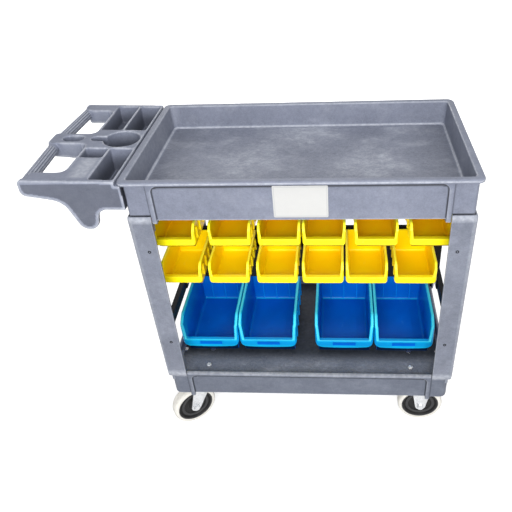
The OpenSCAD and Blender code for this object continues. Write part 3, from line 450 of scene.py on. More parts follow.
def rounded(r, *beyond):
    # distance to a form, from how far a point lies beyond each pair of its faces, with edges of radius r:
    # the length of the positive parts of b + r, or the least depth inside, less r
    q = [b + r for b in beyond]
    out = np.sqrt(sum(np.maximum(v, 0) ** 2 for v in q))
    return out + np.minimum(reduce(np.maximum, q), 0) - r


def softBlock(low, high, r, planR=None, steps=4, wear=0.5):
    # block with every edge rounded by r and upright edges by planR
    low, high = np.asarray(low, float), np.asarray(high, float)
    planR = planR or r
    pattern = ringPattern([], [], 5)
    turns = [(r * (1 - s), low[2] + r * (1 - c)) for s, c in quarter(steps)]
    turns += [(r * (1 - c), high[2] - r * (1 - s)) for s, c in quarter(steps)]
    turns = [(r + 1.0, low[2])] + turns + [(r + 1.0, high[2])]
    rings = [ring(pattern, low[0] + d, high[0] - d, low[1] + d, high[1] - d, max(planR - d, 0.1), z)
             for d, z in turns]
    # rounded edges lighter by wear and painted highlight
    edge = [0, wear * 0.6] + [wear] * (2 * steps - 2) + [wear * 0.6, 0]
    return skin(rings, edge)


def putPiece(name, stuff, finish, body, slot, nodes=(), shift=home):
    # the surface as a mesh object; each corner's normal leans to the larger faces so flats stay flat
    points, quads, ends = stuff["points"] * mm + shift, stuff["quads"], stuff["ends"]
    loops = np.concatenate([quads.ravel(), *ends]).astype(np.int32)
    totals = np.concatenate([np.full(len(quads), 4), [len(e) for e in ends]]).astype(np.int32)
    starts = np.concatenate([[0], np.cumsum(totals)[:-1]]).astype(np.int32)
    mesh = bpy.data.meshes.new(name)
    mesh.vertices.add(len(points))
    mesh.vertices.foreach_set("co", points.astype(np.float32).ravel())
    mesh.loops.add(len(loops))
    mesh.loops.foreach_set("vertex_index", loops)
    mesh.polygons.add(len(totals))
    mesh.polygons.foreach_set("loop_start", starts)
    mesh.polygons.foreach_set("use_smooth", np.ones(len(totals), bool))
    for key in ("wear", "scuff"):
        layer = mesh.attributes.new(key, "FLOAT", "POINT")
        layer.data.foreach_set("value", stuff[key].astype(np.float32))
    mesh.update(calc_edges=True)
    mesh.validate()
    area = stuff.get("normals")
    if area is None:
        area = np.zeros_like(points)
        a, b, c, d = points[quads].transpose(1, 0, 2)
        facing = np.cross(c - a, d - b)
        for corner in range(4):
            np.add.at(area, quads[:, corner], facing)
        for end in ends:
            p = points[end]
            area[end] += np.cross(p[1:-1] - p[0], p[2:] - p[0]).sum(0)
    size = np.linalg.norm(area, axis=1, keepdims=True)
    mesh.normals_split_custom_set_from_vertices(area / np.maximum(size, 1e-15))
    piece = bpy.data.objects.new(name, mesh)
    bpy.context.scene.collection.objects.link(piece)
    mesh.materials.append(finish)
    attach(piece, body)
    if nodes:
        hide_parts(*nodes)


# Tray and shelf

shellSizes = {"halfX": 382.5, "halfY": 215.0, "rimRadius": 18.0, "leastRadius": 5.0, "bodyIn": 10.0,
              "wall": 5.0, "ribEdge": 323.0, "ribWidth": 12.0, "ribProud": 3.5, "ribDrop": 7.0,
              "panelRadius": 15.0, "endEdge": 155.5, "tenonX": 333.5, "tenonY": 168.0, "tenonInX": 370.2,
              "tenonInY": 202.7, "tenonRound": 1.2, "soft": 2.2, "underRib": 16.5, "ribRound": 0.8,
              "haze": 0.12, "lowerRub": 0.7}
trayDeep = {"top": 840.0, "rimBottom": 831.0, "floor": 778.0, "skirt": 740.0, "corner": 751.7,
            "rimIn": 17.0, "draft": 3.0, "fillet": 6.0, "rimOut": 5.0, "rimInner": 4.0, "rimLower": 1.6,
            "band": 4.0, "tenonBottom": 690.0, "basinRadius": 10.0, "cornerDark": 1.5, "jointDark": 0.9}
shelfSizes = {**shellSizes, "halfX": 378.0, "rimRadius": 28.0, "ribDrop": 9.0, "tenonInX": 366.0,
              "underRib": 31.5}
shelfDeep = {"top": 253.0, "floor": 230.0, "skirt": 174.0, "corner": 172.0, "post": 241.6, "lip": 8.0,
             "fillet": 4.0, "lipRound": 3.6, "band": 8.0, "tenonTop": 298.0}
floorSteps = (150, 100, 55, 20, 4)      # how far inside its fillet each ring of a floor lies
frameSteps = np.array([-2.2, -1.3, -0.6, 0, 0.6, 1.3, 2.4, 4, 6, 8.5, 10.5, 12.2, 16])   # rows below the band


def shellPattern(s):
    # columns close together where ribs, panel corners and skirt ends fall
    straightX = s["halfX"] - s["rimRadius"]
    straightY = s["halfY"] - s["rimRadius"]
    panel = s["ribEdge"] - s["ribWidth"]
    bend = panel - s["panelRadius"]
    atX = np.concatenate([np.linspace(0, bend - 4, 26), np.linspace(bend - 2, panel - 1.5, 12),
                          panel + np.array([-0.9, -0.3, 0.3, 0.9, 1.8]),
                          s["ribEdge"] + np.array([-3, -1.8, -0.9, -0.3, 0.3, 0.9, 2.5]),
                          np.linspace(s["ribEdge"] + 8, straightX - 1, 5)])
    atY = np.concatenate([np.linspace(0, s["endEdge"] - 6, 14), s["endEdge"] + np.array([-2, -0.4, 0.4, 2]),
                          np.linspace(s["endEdge"] + 8, straightY - 1, 5)])
    fractions = [np.unique(np.concatenate([-at / straight, at / straight])) / 2 + 0.5
                 for at, straight in ((atX, straightX), (atY, straightY))]
    return ringPattern(*fractions, 14)


class Shell:
    # a tray grown ring by ring, each ring with its wear, painted highlight and painted shade, and haze
    def __init__(self, sizes):
        self.sizes, self.pattern = sizes, shellPattern(sizes)
        self.rings, self.wear, self.scuff = [], [], []
        self.x, self.y, _ = self.ring(sizes["bodyIn"], 0).T
        self.corners = self.levels(0.0, 1.0, 0.0)

    def ring(self, inset, z, least=0.0):
        # set in from the rim's outer edge; its corner keeps the rim's corner centre where it can
        s = self.sizes
        x, y = s["halfX"] - inset, s["halfY"] - inset
        r = np.maximum(s["rimRadius"] - inset, least or s["leastRadius"])
        return ring(self.pattern, -x, x, -y, y, r, z)

    def add(self, inset, z, rub=0.0, haze=0.0, least=0.0):
        # each ring's wear and painted shading is a value, or a function of the ring's x
        self.rings.append(self.ring(inset, z, least))
        self.wear.append(rub(self.rings[-1][:, 0]) if callable(rub) else rub)
        self.scuff.append(haze)

    def levels(self, skirt, corner, drop):
        # a value for each place round the skirts: panels, lower ribs, corners
        s, x, y = self.sizes, np.abs(self.x), np.abs(self.y)
        onLong, onEnd = y > s["halfY"] - s["bodyIn"] - 1, x > s["halfX"] - s["bodyIn"] - 1
        rib = np.where(x < s["ribEdge"], skirt - drop, corner)
        long = np.where(x < s["ribEdge"] - s["ribWidth"], skirt, rib)
        end = np.where(y < s["endEdge"], skirt, corner)
        return np.where(onLong & ~onEnd, long, np.where(onEnd & ~onLong, end, corner))

    def frameAt(self, z, top, band):
        # raised frame on the long skirts at height z: 1 on ribs and band, 0 in the rounded panel window;
        # and its painted lines: painted shade at its foot inside the window and along the ribs' outer edges,
        # lighter along its edge by wear and painted highlight
        s, (fx, _, fy, gy) = self.sizes, self.pattern[:4]
        qx, qz = np.abs(self.x) - s["ribEdge"] + s["ribWidth"], z - top + band
        out = rounded(s["panelRadius"], qx, qz)
        long = (gy == 0) & ((fy == 0) | (fy == 1)) & (fx != fx.round())
        end = s["ribEdge"] - np.abs(self.x)
        within = smooth(0.0, s["soft"], end)
        wide = 3.4 + 3.2 * smooth(-4, 4, qz - qx)      # the band's overhang hides part of the line below it
        lines = 0.6 * smooth(0.2, 0.9, out) * smooth(2.6, 1.2, out)
        lines = lines - 0.9 * smooth(-wide, 1.8 - wide, out) * smooth(0.7, -0.1, out)
        lines = lines * within - 0.45 * smooth(-2.6, -0.6, end) * smooth(1.2, 0.2, end)
        return long * within * smooth(-s["soft"] / 2, s["soft"] / 2, out), long * lines

    def skirt(self, top, wallTop, band, levels, lower):
        # rings down the outside of a skirt and round its lower edge, and their wear and painted shading
        s, rings, wear = self.sizes, [], []
        rows = top - band - frameSteps
        for z in (wallTop, *rows[rows < wallTop - 0.3]):
            proud, lines = self.frameAt(z, top, band)
            edge = s["bodyIn"] - proud * s["ribProud"]
            rings.append(self.ring(edge, z))
            # painted shade on the skirt just under the rim
            wear.append(lines - 0.6 * (z == wallTop))
        for share in (0.35, 0.7, 0.94):
            rings.append(self.ring(edge, z + (levels - z) * share))
            wear.append(lines)
        for sn, cs in quarter(4):
            rings.append(self.ring(edge + s["soft"] * (1 - cs), levels + s["soft"] * (1 - sn)))
            wear.append(lower)
        return rings, wear

    def close(self, rings, wear, levels, under):
        # the skirt's rings, then up inside it to the underside
        self.rings += rings
        self.wear += wear
        self.scuff += [self.sizes["haze"]] * len(rings)
        inside, soft = self.sizes["bodyIn"] + self.sizes["wall"], self.sizes["soft"]
        self.add(inside - soft, levels, 0.2)
        for more, z in ((0, levels + soft), (0, under - 1.5), (1.5, under), (30, under)):
            self.add(inside + more, z)
        return skin(self.rings, self.wear, self.scuff)


def trayRings(s, d):
    # basin floor, drafted wall, rolled rim, outside wall and skirt, underside
    shell, r = Shell(s), d["basinRadius"]
    foot, wallLow, wallTop = d["rimIn"] + d["draft"], d["floor"] + d["fillet"], d["top"] - d["rimInner"]

    def shadedEnds(x): return -0.25 * smooth(225, 345, np.abs(x))      # painted shade: the floor darker towards both ends
    def lighterAtHandleEnd(x): return 0.25 * smooth(335, 355, -x)             # lighter on the walls towards the handle's end

    for more in floorSteps:
        shell.add(foot + d["fillet"] + more, d["floor"], shadedEnds, 1.0, r)
    # painted highlight along the fillet between the floor and the wall
    for sn, cs in quarter(6):
        shell.add(foot + d["fillet"] * (1 - sn), d["floor"] + d["fillet"] * (1 - cs),
                  0.95 * (0.2 < sn < 0.9), 0.55, r)
    for share in (0.25, 0.5, 0.75, 0.97):
        shell.add(foot - d["draft"] * share, wallLow + (wallTop - wallLow) * share, lighterAtHandleEnd, 0.3, r)
    # painted highlight lines on the rim's inner rounding and along its outer top edge
    for sn, cs in quarter(6):
        shell.add(d["rimIn"] - d["rimInner"] * (1 - cs), wallTop + d["rimInner"] * sn,
                  0.1 + 0.5 * (0.3 < sn < 0.9), 0.2, r)
    for sn, cs in quarter(7):
        shell.add(d["rimOut"] * (1 - sn), d["top"] - d["rimOut"] * (1 - cs), 0.05 + 0.9 * (sn > 0.9), 0.15)
    shell.add(0.0, d["rimBottom"] + 1.5 * d["rimLower"], 0.3)
    for sn, cs in quarter(4):
        shell.add(d["rimLower"] * (1 - cs), d["rimBottom"] + d["rimLower"] * (1 - sn))
    shell.add(s["bodyIn"] - s["ribProud"] - 0.4, d["rimBottom"])
    # the skirt's lower edge lighter by wear and painted highlight, with painted shade at the corners over the
    # posts
    levels = shell.levels(d["skirt"], d["corner"], s["ribDrop"])
    rings, wear = shell.skirt(d["rimBottom"], d["rimBottom"] - 0.3, d["band"], levels,
                              s["lowerRub"] - d["cornerDark"] * shell.corners)
    nearEnd = s["bodyIn"] - s["halfX"]
    joint = d["jointDark"] * smooth(nearEnd + 6, nearEnd + 3, shell.x)
    wear = [v - joint for v in wear[:-6]] + wear[-6:]             # painted shade beside the handle
    return shell.close(rings, wear, levels, d["floor"] - s["wall"])


def underRibs(s, top):
    # stiffening ribs below a floor
    half, bodyIn, low = s["wall"] / 2, s["bodyIn"] + s["wall"], top - s["underRib"]
    bodyX, bodyY = s["halfX"] - bodyIn, s["halfY"] - bodyIn
    along = [softBlock((-bodyX, y - half, low), (bodyX, y + half, top + 1), s["ribRound"])
             for y in (-s["halfY"] / 3, s["halfY"] / 3)]
    across = [softBlock((x - half, -bodyY, low), (x + half, bodyY, top + 1), s["ribRound"])
              for x in (-s["halfX"] / 2, 0.0, s["halfX"] / 2)]
    return together(*along, *across)


def tenons(s, bottom, top):
    # blocks that the posts' ends go round
    low, high = (s["tenonX"], s["tenonY"], bottom), (s["tenonInX"], s["tenonInY"], top)
    return bothWays(softBlock(low, high, s["tenonRound"]))


trayUnder = trayDeep["floor"] - shellSizes["wall"]
tray = together(trayRings(shellSizes, trayDeep), underRibs(shellSizes, trayUnder),
                tenons(shellSizes, trayDeep["tenonBottom"], trayUnder + 1))
putPiece("trayShell", tray, trayGrey, "frame", "grey_plastic", ["top_tray"])
print("tray:", len(tray["quads"]), "quads")


def shelfRings(s, d):
    # floor, low lip between the posts, recessed skirts, underside
    shell, e = Shell(s), d["lipRound"]
    top = d["top"] + (d["post"] - d["top"]) * shell.corners
    foot = s["bodyIn"] + d["lip"]
    for more in floorSteps:
        shell.add(foot + d["fillet"] + more, d["floor"], 0.0, 0.8)
    for sn, cs in quarter(5):
        shell.add(foot + d["fillet"] * (1 - sn), d["floor"] + d["fillet"] * (1 - cs),
                  0.3 * (1 - abs(2 * sn - 1)), 0.5)
    # the lip's rounding lighter towards its top, by wear and painted highlight
    for sn, cs in quarter(5):
        shell.add(foot - e * (1 - cs), top - e * (1 - sn), 0.25 + 0.5 * sn, 0.3)
    face = shell.frameAt(d["top"] - 3, d["top"], d["band"])[0] * s["ribProud"]
    for sn, cs in quarter(5):
        shell.add(s["bodyIn"] - face + e * (1 - sn), top - e * (1 - cs), 0.9 - 0.4 * sn, 0.2)
    levels = shell.levels(d["skirt"], d["corner"], s["ribDrop"])
    rings, wear = shell.skirt(d["top"], d["top"] - e - 0.8, d["band"], levels, s["lowerRub"])
    # the skirt's top ring loses its painted shade and turns a little lighter, except at the corners
    wear[0] = wear[0] + 0.8 * (1 - shell.corners)
    for rows in rings:
        # lower at the corners, where the posts stand on it
        rows[:, 2] = np.minimum(rows[:, 2], top - e - 0.6 - 0.02 * (d["top"] - rows[:, 2]))
    return shell.close(rings, wear, levels, d["floor"] - s["wall"])


casters = {"x": 313.0, "y": 127.0, "plateL": 104.0, "plateW": 84.0, "boltX": 39.0, "boltY": 30.0,
           "height": 160.0, "padRound": 1.5, "padCorner": 6.0}


def casterPads(d, top):
    # blocks under the shelf that the caster plates stand against
    low = (d["x"] - d["plateL"] / 2, d["y"] - d["plateW"] / 2, d["height"] + 0.1)
    high = (d["x"] + d["plateL"] / 2, d["y"] + d["plateW"] / 2, top)
    return bothWays(softBlock(low, high, d["padRound"], d["padCorner"]))


shelfUnder = shelfDeep["floor"] - shelfSizes["wall"]
shelf = together(shelfRings(shelfSizes, shelfDeep), underRibs(shelfSizes, shelfUnder),
                 casterPads(casters, shelfUnder + 1),
                 tenons(shelfSizes, shelfUnder - 1, shelfDeep["tenonTop"]))
putPiece("shelfShell", shelf, shelfGrey, "frame", "grey_plastic", ["lower_shelf", "shelf_rim"])
print("shelf:", len(shelf["quads"]), "quads")

labelLow, labelHigh = (np.array(v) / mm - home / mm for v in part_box("label_plate"))
labelEdge = {"round": 0.5, "corner": 3.0, "least": 0.6, "frame": 3.0, "bevel": (0.5, 1.4), "raise": 0.25}


def labelSkin(low, high, d):
    # thin plate standing on the skirt: rings grow from its rim to a low raised border and the flat field
    pattern = ringPattern(np.linspace(0.02, 0.98, 14), np.linspace(0.02, 0.98, 10), 6)
    flat = high[1] - low[1]
    depth = [(0.0, 0.0), (0.0, flat - d["round"])]
    depth += [(d["round"] * (1 - c), flat - d["round"] * (1 - s)) for s, c in quarter(4)]
    depth += [(d["frame"], flat)] + [(d["frame"] + b, flat - d["raise"]) for b in d["bevel"]]
    rings = []
    for inset, out in depth:
        x, z, _ = ring(pattern, low[0] + inset, high[0] - inset, low[2] + inset, high[2] - inset,
                       max(d["corner"] - inset, d["least"]), 0).T
        rings.append(np.stack([x, high[1] - out - 0 * x, z], 1))
    # a painted shade line along the raised border
    return skin(rings, [0, 0.2, 0.2, 0.2, 0.2, 0.0, 0.6, 0.9, 0.0])


label = labelSkin(labelLow, labelHigh, labelEdge)
putPiece("labelPlate", label, plateWhite, "frame", "label", ["label_plate"])
print("label plate done")


# Posts

postSizes = {"outX": 376.5, "outY": 209.0, "width": 53.0, "thick": 6.0, "radius": 10.0, "tip": 2.0,
             "inner": 4.0, "bottom": 242.0, "top": 751.0, "flareLow": -1.5, "flareHigh": 2.8,
             "shoulder": (6.3, 3.7, 10.0), "foot": (3.0, 3.4, 14.0)}


def filleted(corners, radii, steps):
    # polygon with an arc of its own radius at each corner, and the outward normal at each point:
    # the arc's centre lies on the corner's bisector, r / sin(half angle) from it
    corners = np.asarray(corners, float)
    points, normals = [], []
    for c, p, n, r in zip(corners, np.roll(corners, 1, 0), np.roll(corners, -1, 0), radii):
        d1, d2 = (p - c) / np.linalg.norm(p - c), (n - c) / np.linalg.norm(n - c)
        half = np.arccos(np.clip(d1 @ d2, -1, 1)) / 2
        middle = c + (d1 + d2) / np.linalg.norm(d1 + d2) * r / np.sin(half)
        a0 = np.arctan2(*(c + d1 * r / np.tan(half) - middle)[::-1])
        a1 = np.arctan2(*(c + d2 * r / np.tan(half) - middle)[::-1])
        turn = (a1 - a0 + np.pi) % (2 * np.pi) - np.pi
        a = a0 + turn * np.linspace(0, 1, steps)
        ray = np.stack([np.cos(a), np.sin(a)], 1)
        points.append(middle + r * ray)
        normals.append(ray * np.sign(turn))
    return np.concatenate(points), np.concatenate(normals)


def postFlare(d, z):
    # how far the end face stands out of its plain plane at height z
    return d["flareLow"] + (d["flareHigh"] - d["flareLow"]) * (z - d["bottom"]) / (d["top"] - d["bottom"])


def postSkin(d):
    # angle section carried up the post; its outer faces flare, and round in at the shoulder and the foot:
    # in by depth (1 - cos), towards the end by height (1 - sin)
    x, y, w, t = d["outX"], d["outY"], d["width"], d["thick"]
    outline, _ = filleted(
        [(x - t, y - w), (x, y - w), (x, y), (x - w, y), (x - w, y - t), (x - t, y - t)],
        [d["tip"], d["tip"], d["radius"], d["tip"], d["tip"], d["inner"]], 9)
    outer = np.stack([smooth(x - t + 1, x - 1, outline[:, 0]), smooth(y - t + 1, y - 1, outline[:, 1])], 1)
    foot, shoulder = np.array(d["foot"]), np.array(d["shoulder"])
    # lighter on the foot's and the shoulder's rounding by wear and painted highlight; painted shade along the
    # very foot and the top edge
    stops = [(foot[:2] * (1 - s), d["bottom"] + foot[2] * (1 - c), 0.95 * s - 0.8 * (s < 0.3))
             for s, c in quarter(8)]
    stops += [(np.zeros(2), z, 0.0) for z in np.linspace(d["bottom"] + 26, d["top"] - 20, 9)]
    stops += [(shoulder[:2] * (1 - c), d["top"] - shoulder[2] * (1 - s), 0.95 * c - 0.85 * (s > 0.95))
              for s, c in quarter(8)]
    rings = []
    for inset, z, _ in stops:
        shift = np.array([postFlare(d, z), 0.0]) - inset
        rings.append(np.column_stack([outline + outer * shift, np.full(len(outline), z)]))
    stuff = skin(rings, [rub for *_, rub in stops], 0.25)
    bow = np.sin(np.pi * np.linspace(0, 1, 9)) ** 0.7       # lighter upright corners by wear and painted highlight, plain flats between
    bent = np.tile(np.outer([0.5, 0.5, 0.55, 0.5, 0.5, 0.0], bow).ravel(), len(rings))
    stuff["wear"] = np.where(stuff["wear"] < 0, stuff["wear"], np.maximum(stuff["wear"], bent))
    return stuff


post = postSkin(postSizes)
for side, sy in (("front", -1), ("rear", 1)):
    for end, sx in (("left", -1), ("right", 1)):
        name = f"{side}_{end}"
        putPiece("post_" + name + "_skin", mirrored(post, sx, sy), postGrey, "frame", "grey_plastic",
                 ["post_" + name])
print("posts done")


# Handle, as a distance field

handleSizes = {"inside": -372.5, "edge": -386.0, "blockOut": -508.5, "cheekEnd": -597.0, "spineEnd": -606.9,
               "top": 840.0, "tilt": 1.6, "blockBottom": 770.0, "step": 829.0, "tongueBottom": 740.0,
               "tongue": 13.0, "tongueHalf": 150.0, "halfWidth": 209.5, "cheek": 12.0, "cheekIn": 4.0,
               "stepHalf": 204.0, "deckDeep": 37.0, "noseHalf": 27.0, "noseRadius": 8.0,
               "noseDeep": (44.5, 37.0), "webInside": 169.0, "gripRadius": 13.0, "gripLow": 2.0,
               "gripLean": 10.0, "collar": (35.0, 181.0), "core": 11.0, "pocketDeep": 60.0,
               "outerDeep": 48.0, "smallDeep": 40.0, "wall": 5.0, "pocketHalf": 51.0, "pocketRound": 5.0,
               "mouth": 2.6, "smallWide": 46.0, "cupX": -434.0, "cupRadius": 43.0, "cupDeep": 54.0,
               "slotHalf": 12.0, "slotDeep": 24.0, "ovalX": -552.5, "ovalHalf": 10.5, "ovalRadius": 14.5,
               "cell": 2.15, "edgeRound": 2.4, "plan": 21.0, "lap": 30.0}
# lighter edges by wear and painted highlight; painted shade in the wells, on the cheeks and at the tray's
# joint
handleMarks = {"blur": 3, "full": 0.46, "fade": 0.22, "well": (5, 45), "wellDark": 0.6, "cheekDark": 0.64,
               "jointDark": 0.95, "haze": 0.2}
gripSizes = {"radius": 13.0, "depth": 1.5, "flutes": 13, "around": 156, "along": 40, "blend": 5.0}
cellCorners = [np.array([i >> 2 & 1, i >> 1 & 1, i & 1]) for i in range(8)]


def boxField(r, values, low, high):
    # distance to a box, flat or solid, with edges of radius r
    return rounded(r, *[np.abs(v - (a + b) / 2) - (b - a) / 2 for v, a, b in zip(values, low, high)])


def slabField(flat, across, half, r):
    # a flat outline's distance given a thickness, with edges of radius r
    return rounded(r, flat, np.abs(across) - half)


def barField(x, y, x0, x1, r):
    # flat distance to a bar along x with round ends
    return np.hypot(x - np.clip(x, x0, x1), y) - r


def outlineField(px, pz, outline):
    # signed distance to a closed outline: nearest edge, inside where a ray crosses an odd number of edges
    a, b = outline, np.roll(outline, -1, 0)
    e = b - a
    wx, wz = px[..., None] - a[:, 0], pz[..., None] - a[:, 1]
    t = np.clip((wx * e[:, 0] + wz * e[:, 1]) / (e ** 2).sum(1), 0, 1)
    near = np.sqrt(((wx - e[:, 0] * t) ** 2 + (wz - e[:, 1] * t) ** 2).min(-1))
    crossing = (a[:, 1] > pz[..., None]) != (b[:, 1] > pz[..., None])
    rise = np.where(e[:, 1] == 0, 1e-9, e[:, 1])
    left = wx < e[:, 0] * wz / rise
    return np.where((crossing & left).sum(-1) % 2 == 1, -near, near)


def softJoin(a, b, k):
    # least of two distances with a fillet of size k
    h = np.clip(0.5 + 0.5 * (b - a) / k, 0, 1)
    return b + (a - b) * h - k * h * (1 - h)


def softCut(a, b, k):
    # a with b taken away, its new edges rounded by k
    return -softJoin(-a, b, k)


def cheekOutline(d):
    # hooked cheek: arcs for tip, knee, hook and throat, u outwards from the tray and v down from the top
    out, block = d["inside"] - d["cheekEnd"], d["top"] - d["blockBottom"]
    hook, edge = 0.73 * (d["edge"] - d["blockOut"]), d["inside"] - d["edge"]

    def arc(u, v, r, first, last):
        a = np.radians(np.linspace(first, last, 14))
        return np.stack([u + r * np.cos(a), v + r * np.sin(a)], 1)

    uv = np.concatenate([
        arc(out - 10, -10, 10, 90, 0), arc(out - 16, -24, 16, 0, -75), arc(out - 58, -92, 45, 100, 147),
        arc(hook, -98, 24, 340, 190), arc(hook - 49, -block - 24, 24, 10, 90),
        [[0, -block], [0, d["step"] - d["top"]], [edge, d["step"] - d["top"]], [edge, 0]]])
    return np.stack([d["inside"] - uv[:, 0], d["top"] + uv[:, 1]], 1)


def tilted(x, z, d, back=False):
    # x and z turned about the moulding's top edge beside the tray, or turned back
    a = np.radians(-d["tilt"] if back else d["tilt"])
    dx, dz = x - d["edge"], z - d["top"]
    return d["edge"] + dx * np.cos(a) + dz * np.sin(a), d["top"] - dx * np.sin(a) + dz * np.cos(a)


def gripLine(side, d):
    # x of a grip's axis at a distance from the middle
    share = (side - d["noseHalf"]) / (d["halfWidth"] - d["cheek"] / 2 - d["noseHalf"])
    return d["spineEnd"] + d["gripRadius"] + d["gripLean"] * share


def handleField(wx, y, wz, d):
    # the moulding is worked out level, then turned up with its tilt; step and tongue stay level
    x, z = tilted(wx, wz, d, True)
    top, r, width, side = d["top"], d["edgeRound"], d["halfWidth"], np.abs(y)
    flat = outlineField(x[:, 0, :], z[:, 0, :], cheekOutline(d))[:, None, :]
    cheeks = slabField(flat, side - width + d["cheek"] / 2, d["cheek"] / 2, r)
    reach, far = width - d["cheekIn"], d["blockOut"] + d["lap"]
    block = boxField(r, (x, y, z), (d["blockOut"], -reach, d["blockBottom"]), (d["edge"], reach, top))
    block = np.maximum(block, flat + 0.6)
    # deck: block, nose and webs in plan, with wide fillets between them
    nose = boxField(d["noseRadius"], (x, y), (d["spineEnd"], -d["noseHalf"]), (far, d["noseHalf"]))
    web = boxField(3.0, (x, side), (d["cheekEnd"] + 16, d["webInside"]), (far, reach))
    plan = boxField(3.0, (x, y), (d["blockOut"], -reach), (d["edge"] - 20, reach))
    plan = softJoin(softJoin(plan, nose, d["plan"]), web, d["plan"])
    deck = slabField(np.maximum(plan, side - reach), z - top + d["deckDeep"] / 2, d["deckDeep"] / 2, r)
    share = np.clip((d["blockOut"] - x) / (d["blockOut"] - d["spineEnd"]), 0, 1)
    deep = d["noseDeep"][0] + (d["noseDeep"][1] - d["noseDeep"][0]) * share
    keel = slabField(nose, z - top + deep / 2, deep / 2, 4.0)
    body = np.minimum(np.minimum(block, deck), np.minimum(cheeks, keel))
    # grip bars leaning out to the nose, thinner where the fluted sleeves go over them
    gx, gz = x - gripLine(side, d), z - (top - d["gripLow"] - d["gripRadius"])
    first, last = d["collar"]
    sleeve = smooth(first, first + 4, side) * smooth(last, last - 4, side)
    grips = np.hypot(gx, gz) - d["gripRadius"] + (d["gripRadius"] - d["core"]) * sleeve
    grips = np.maximum(np.maximum(grips, side - width + 6), d["noseHalf"] - 6 - side)
    body = softJoin(body, grips, 5.0)
    body = np.maximum(body, z - top)
    step = boxField(2, (wx, y, wz), (d["edge"] - 4, -d["stepHalf"], d["blockBottom"] + 2),
                    (d["inside"], d["stepHalf"], d["step"]))
    tongue = boxField(2, (wx, y, wz), (d["inside"] - d["tongue"], -d["tongueHalf"], d["tongueBottom"]),
                      (d["inside"], d["tongueHalf"], d["blockBottom"] + 6))
    body = np.minimum(body, np.minimum(step, tongue))
    # pockets, cup, slot and oval taken out from above; the ledge is hollow from below
    w, deep = d["wall"], top - d["pocketDeep"]
    length = (d["edge"] - d["blockOut"] - 3 * w) / 2
    x1 = d["edge"] - w
    x2 = x1 - length - w
    y0, y1 = d["pocketHalf"], width - d["cheek"]
    small = y0 + d["smallWide"]
    hollow = 99.0
    for low, high in [((x1 - length, y0, deep), (x1, y1, top + 20)),
                      ((x2 - length, y0, top - d["outerDeep"]), (x2, y1, top + 20)),
                      ((x1 - length, -y1, deep), (x1, -y0, top + 20)),
                      ((x2 - length, -small, top - d["smallDeep"]), (x2, -y0, top + 20)),
                      ((x2 - length, -y1, d["blockBottom"] - 20), (x2, -small - w, top - w))]:
        pocket = boxField(d["pocketRound"], (x, y, z), low, high)
        hollow = np.minimum(hollow, pocket)
        body = softCut(body, pocket, d["mouth"])
    cup = np.hypot(x - d["cupX"], y) - d["cupRadius"]
    cup = slabField(cup, z - (top - d["cupDeep"] + 40), 40, 6.0)
    slot = barField(x, y, d["blockOut"] + d["slotHalf"], d["cupX"], d["slotHalf"])
    slot = slabField(slot, z - (top - d["slotDeep"] + 40), 40, 4.0)
    oval = barField(x, y, d["ovalX"] - d["ovalHalf"], d["ovalX"] + d["ovalHalf"], d["ovalRadius"])
    wells = softJoin(cup, slot, 3.0)
    body = softCut(body, wells, d["mouth"])
    return softCut(body, oval, 3.0), np.minimum(hollow, wells), top - z


def fieldSkin(field, low, cell):
    # one point in each cell that the surface crosses, at the mean of the crossings on its edges,
    # and one quad round each crossed grid edge
    inside = field < 0
    shape = np.array(field.shape) - 1

    def view(a, o):
        return a[o[0]:o[0] + shape[0], o[1]:o[1] + shape[1], o[2]:o[2] + shape[2]]

    count = sum(view(inside, o).astype(np.int8) for o in cellCorners)
    cells = np.argwhere((count > 0) & (count < 8))
    number = np.full(shape, -1)
    number[tuple(cells.T)] = np.arange(len(cells))
    total, crossings = np.zeros((len(cells), 3)), np.zeros((len(cells), 1))
    for a in range(8):
        for axis in (4, 2, 1):
            if a & axis:
                continue
            o, p = cellCorners[a], cellCorners[a | axis]
            f0, f1 = field[tuple((cells + o).T)], field[tuple((cells + p).T)]
            cut = ((f0 < 0) != (f1 < 0))[:, None]
            t = (f0 / np.where(f0 == f1, 1, f0 - f1))[:, None]
            total += np.where(cut, o + t * (p - o), 0)
            crossings += cut
    points = low + cell * (cells + total / crossings)
    quads = []
    for axis in range(3):
        step = np.eye(3, dtype=int)[axis]
        one, two = np.eye(3, dtype=int)[(axis + 1) % 3], np.eye(3, dtype=int)[(axis + 2) % 3]
        ends = tuple(slice(0, n - s) for n, s in zip(inside.shape, step))
        nexts = tuple(slice(s, n) for n, s in zip(inside.shape, step))
        at = np.argwhere(inside[ends] != inside[nexts])
        ids = np.stack([number[tuple((at - g).T)] for g in (0 * one, one, one + two, two)], 1)
        turned = inside[tuple(at.T)][:, None]
        quads.append(np.where(turned, ids, ids[:, ::-1]))
    return points, np.concatenate(quads), cells


def boxBlur(a, n):
    # mean over a cube of 2 n + 1 cells, by running sums along each axis
    for axis in range(3):
        pad = [(n + 1, n) if i == axis else (0, 0) for i in range(3)]
        run = np.cumsum(np.pad(a, pad, mode="edge"), axis)
        size = a.shape[axis]
        high = np.take(run, np.arange(2 * n + 1, 2 * n + 1 + size), axis)
        a = (high - np.take(run, np.arange(size), axis)) / (2 * n + 1)
    return a


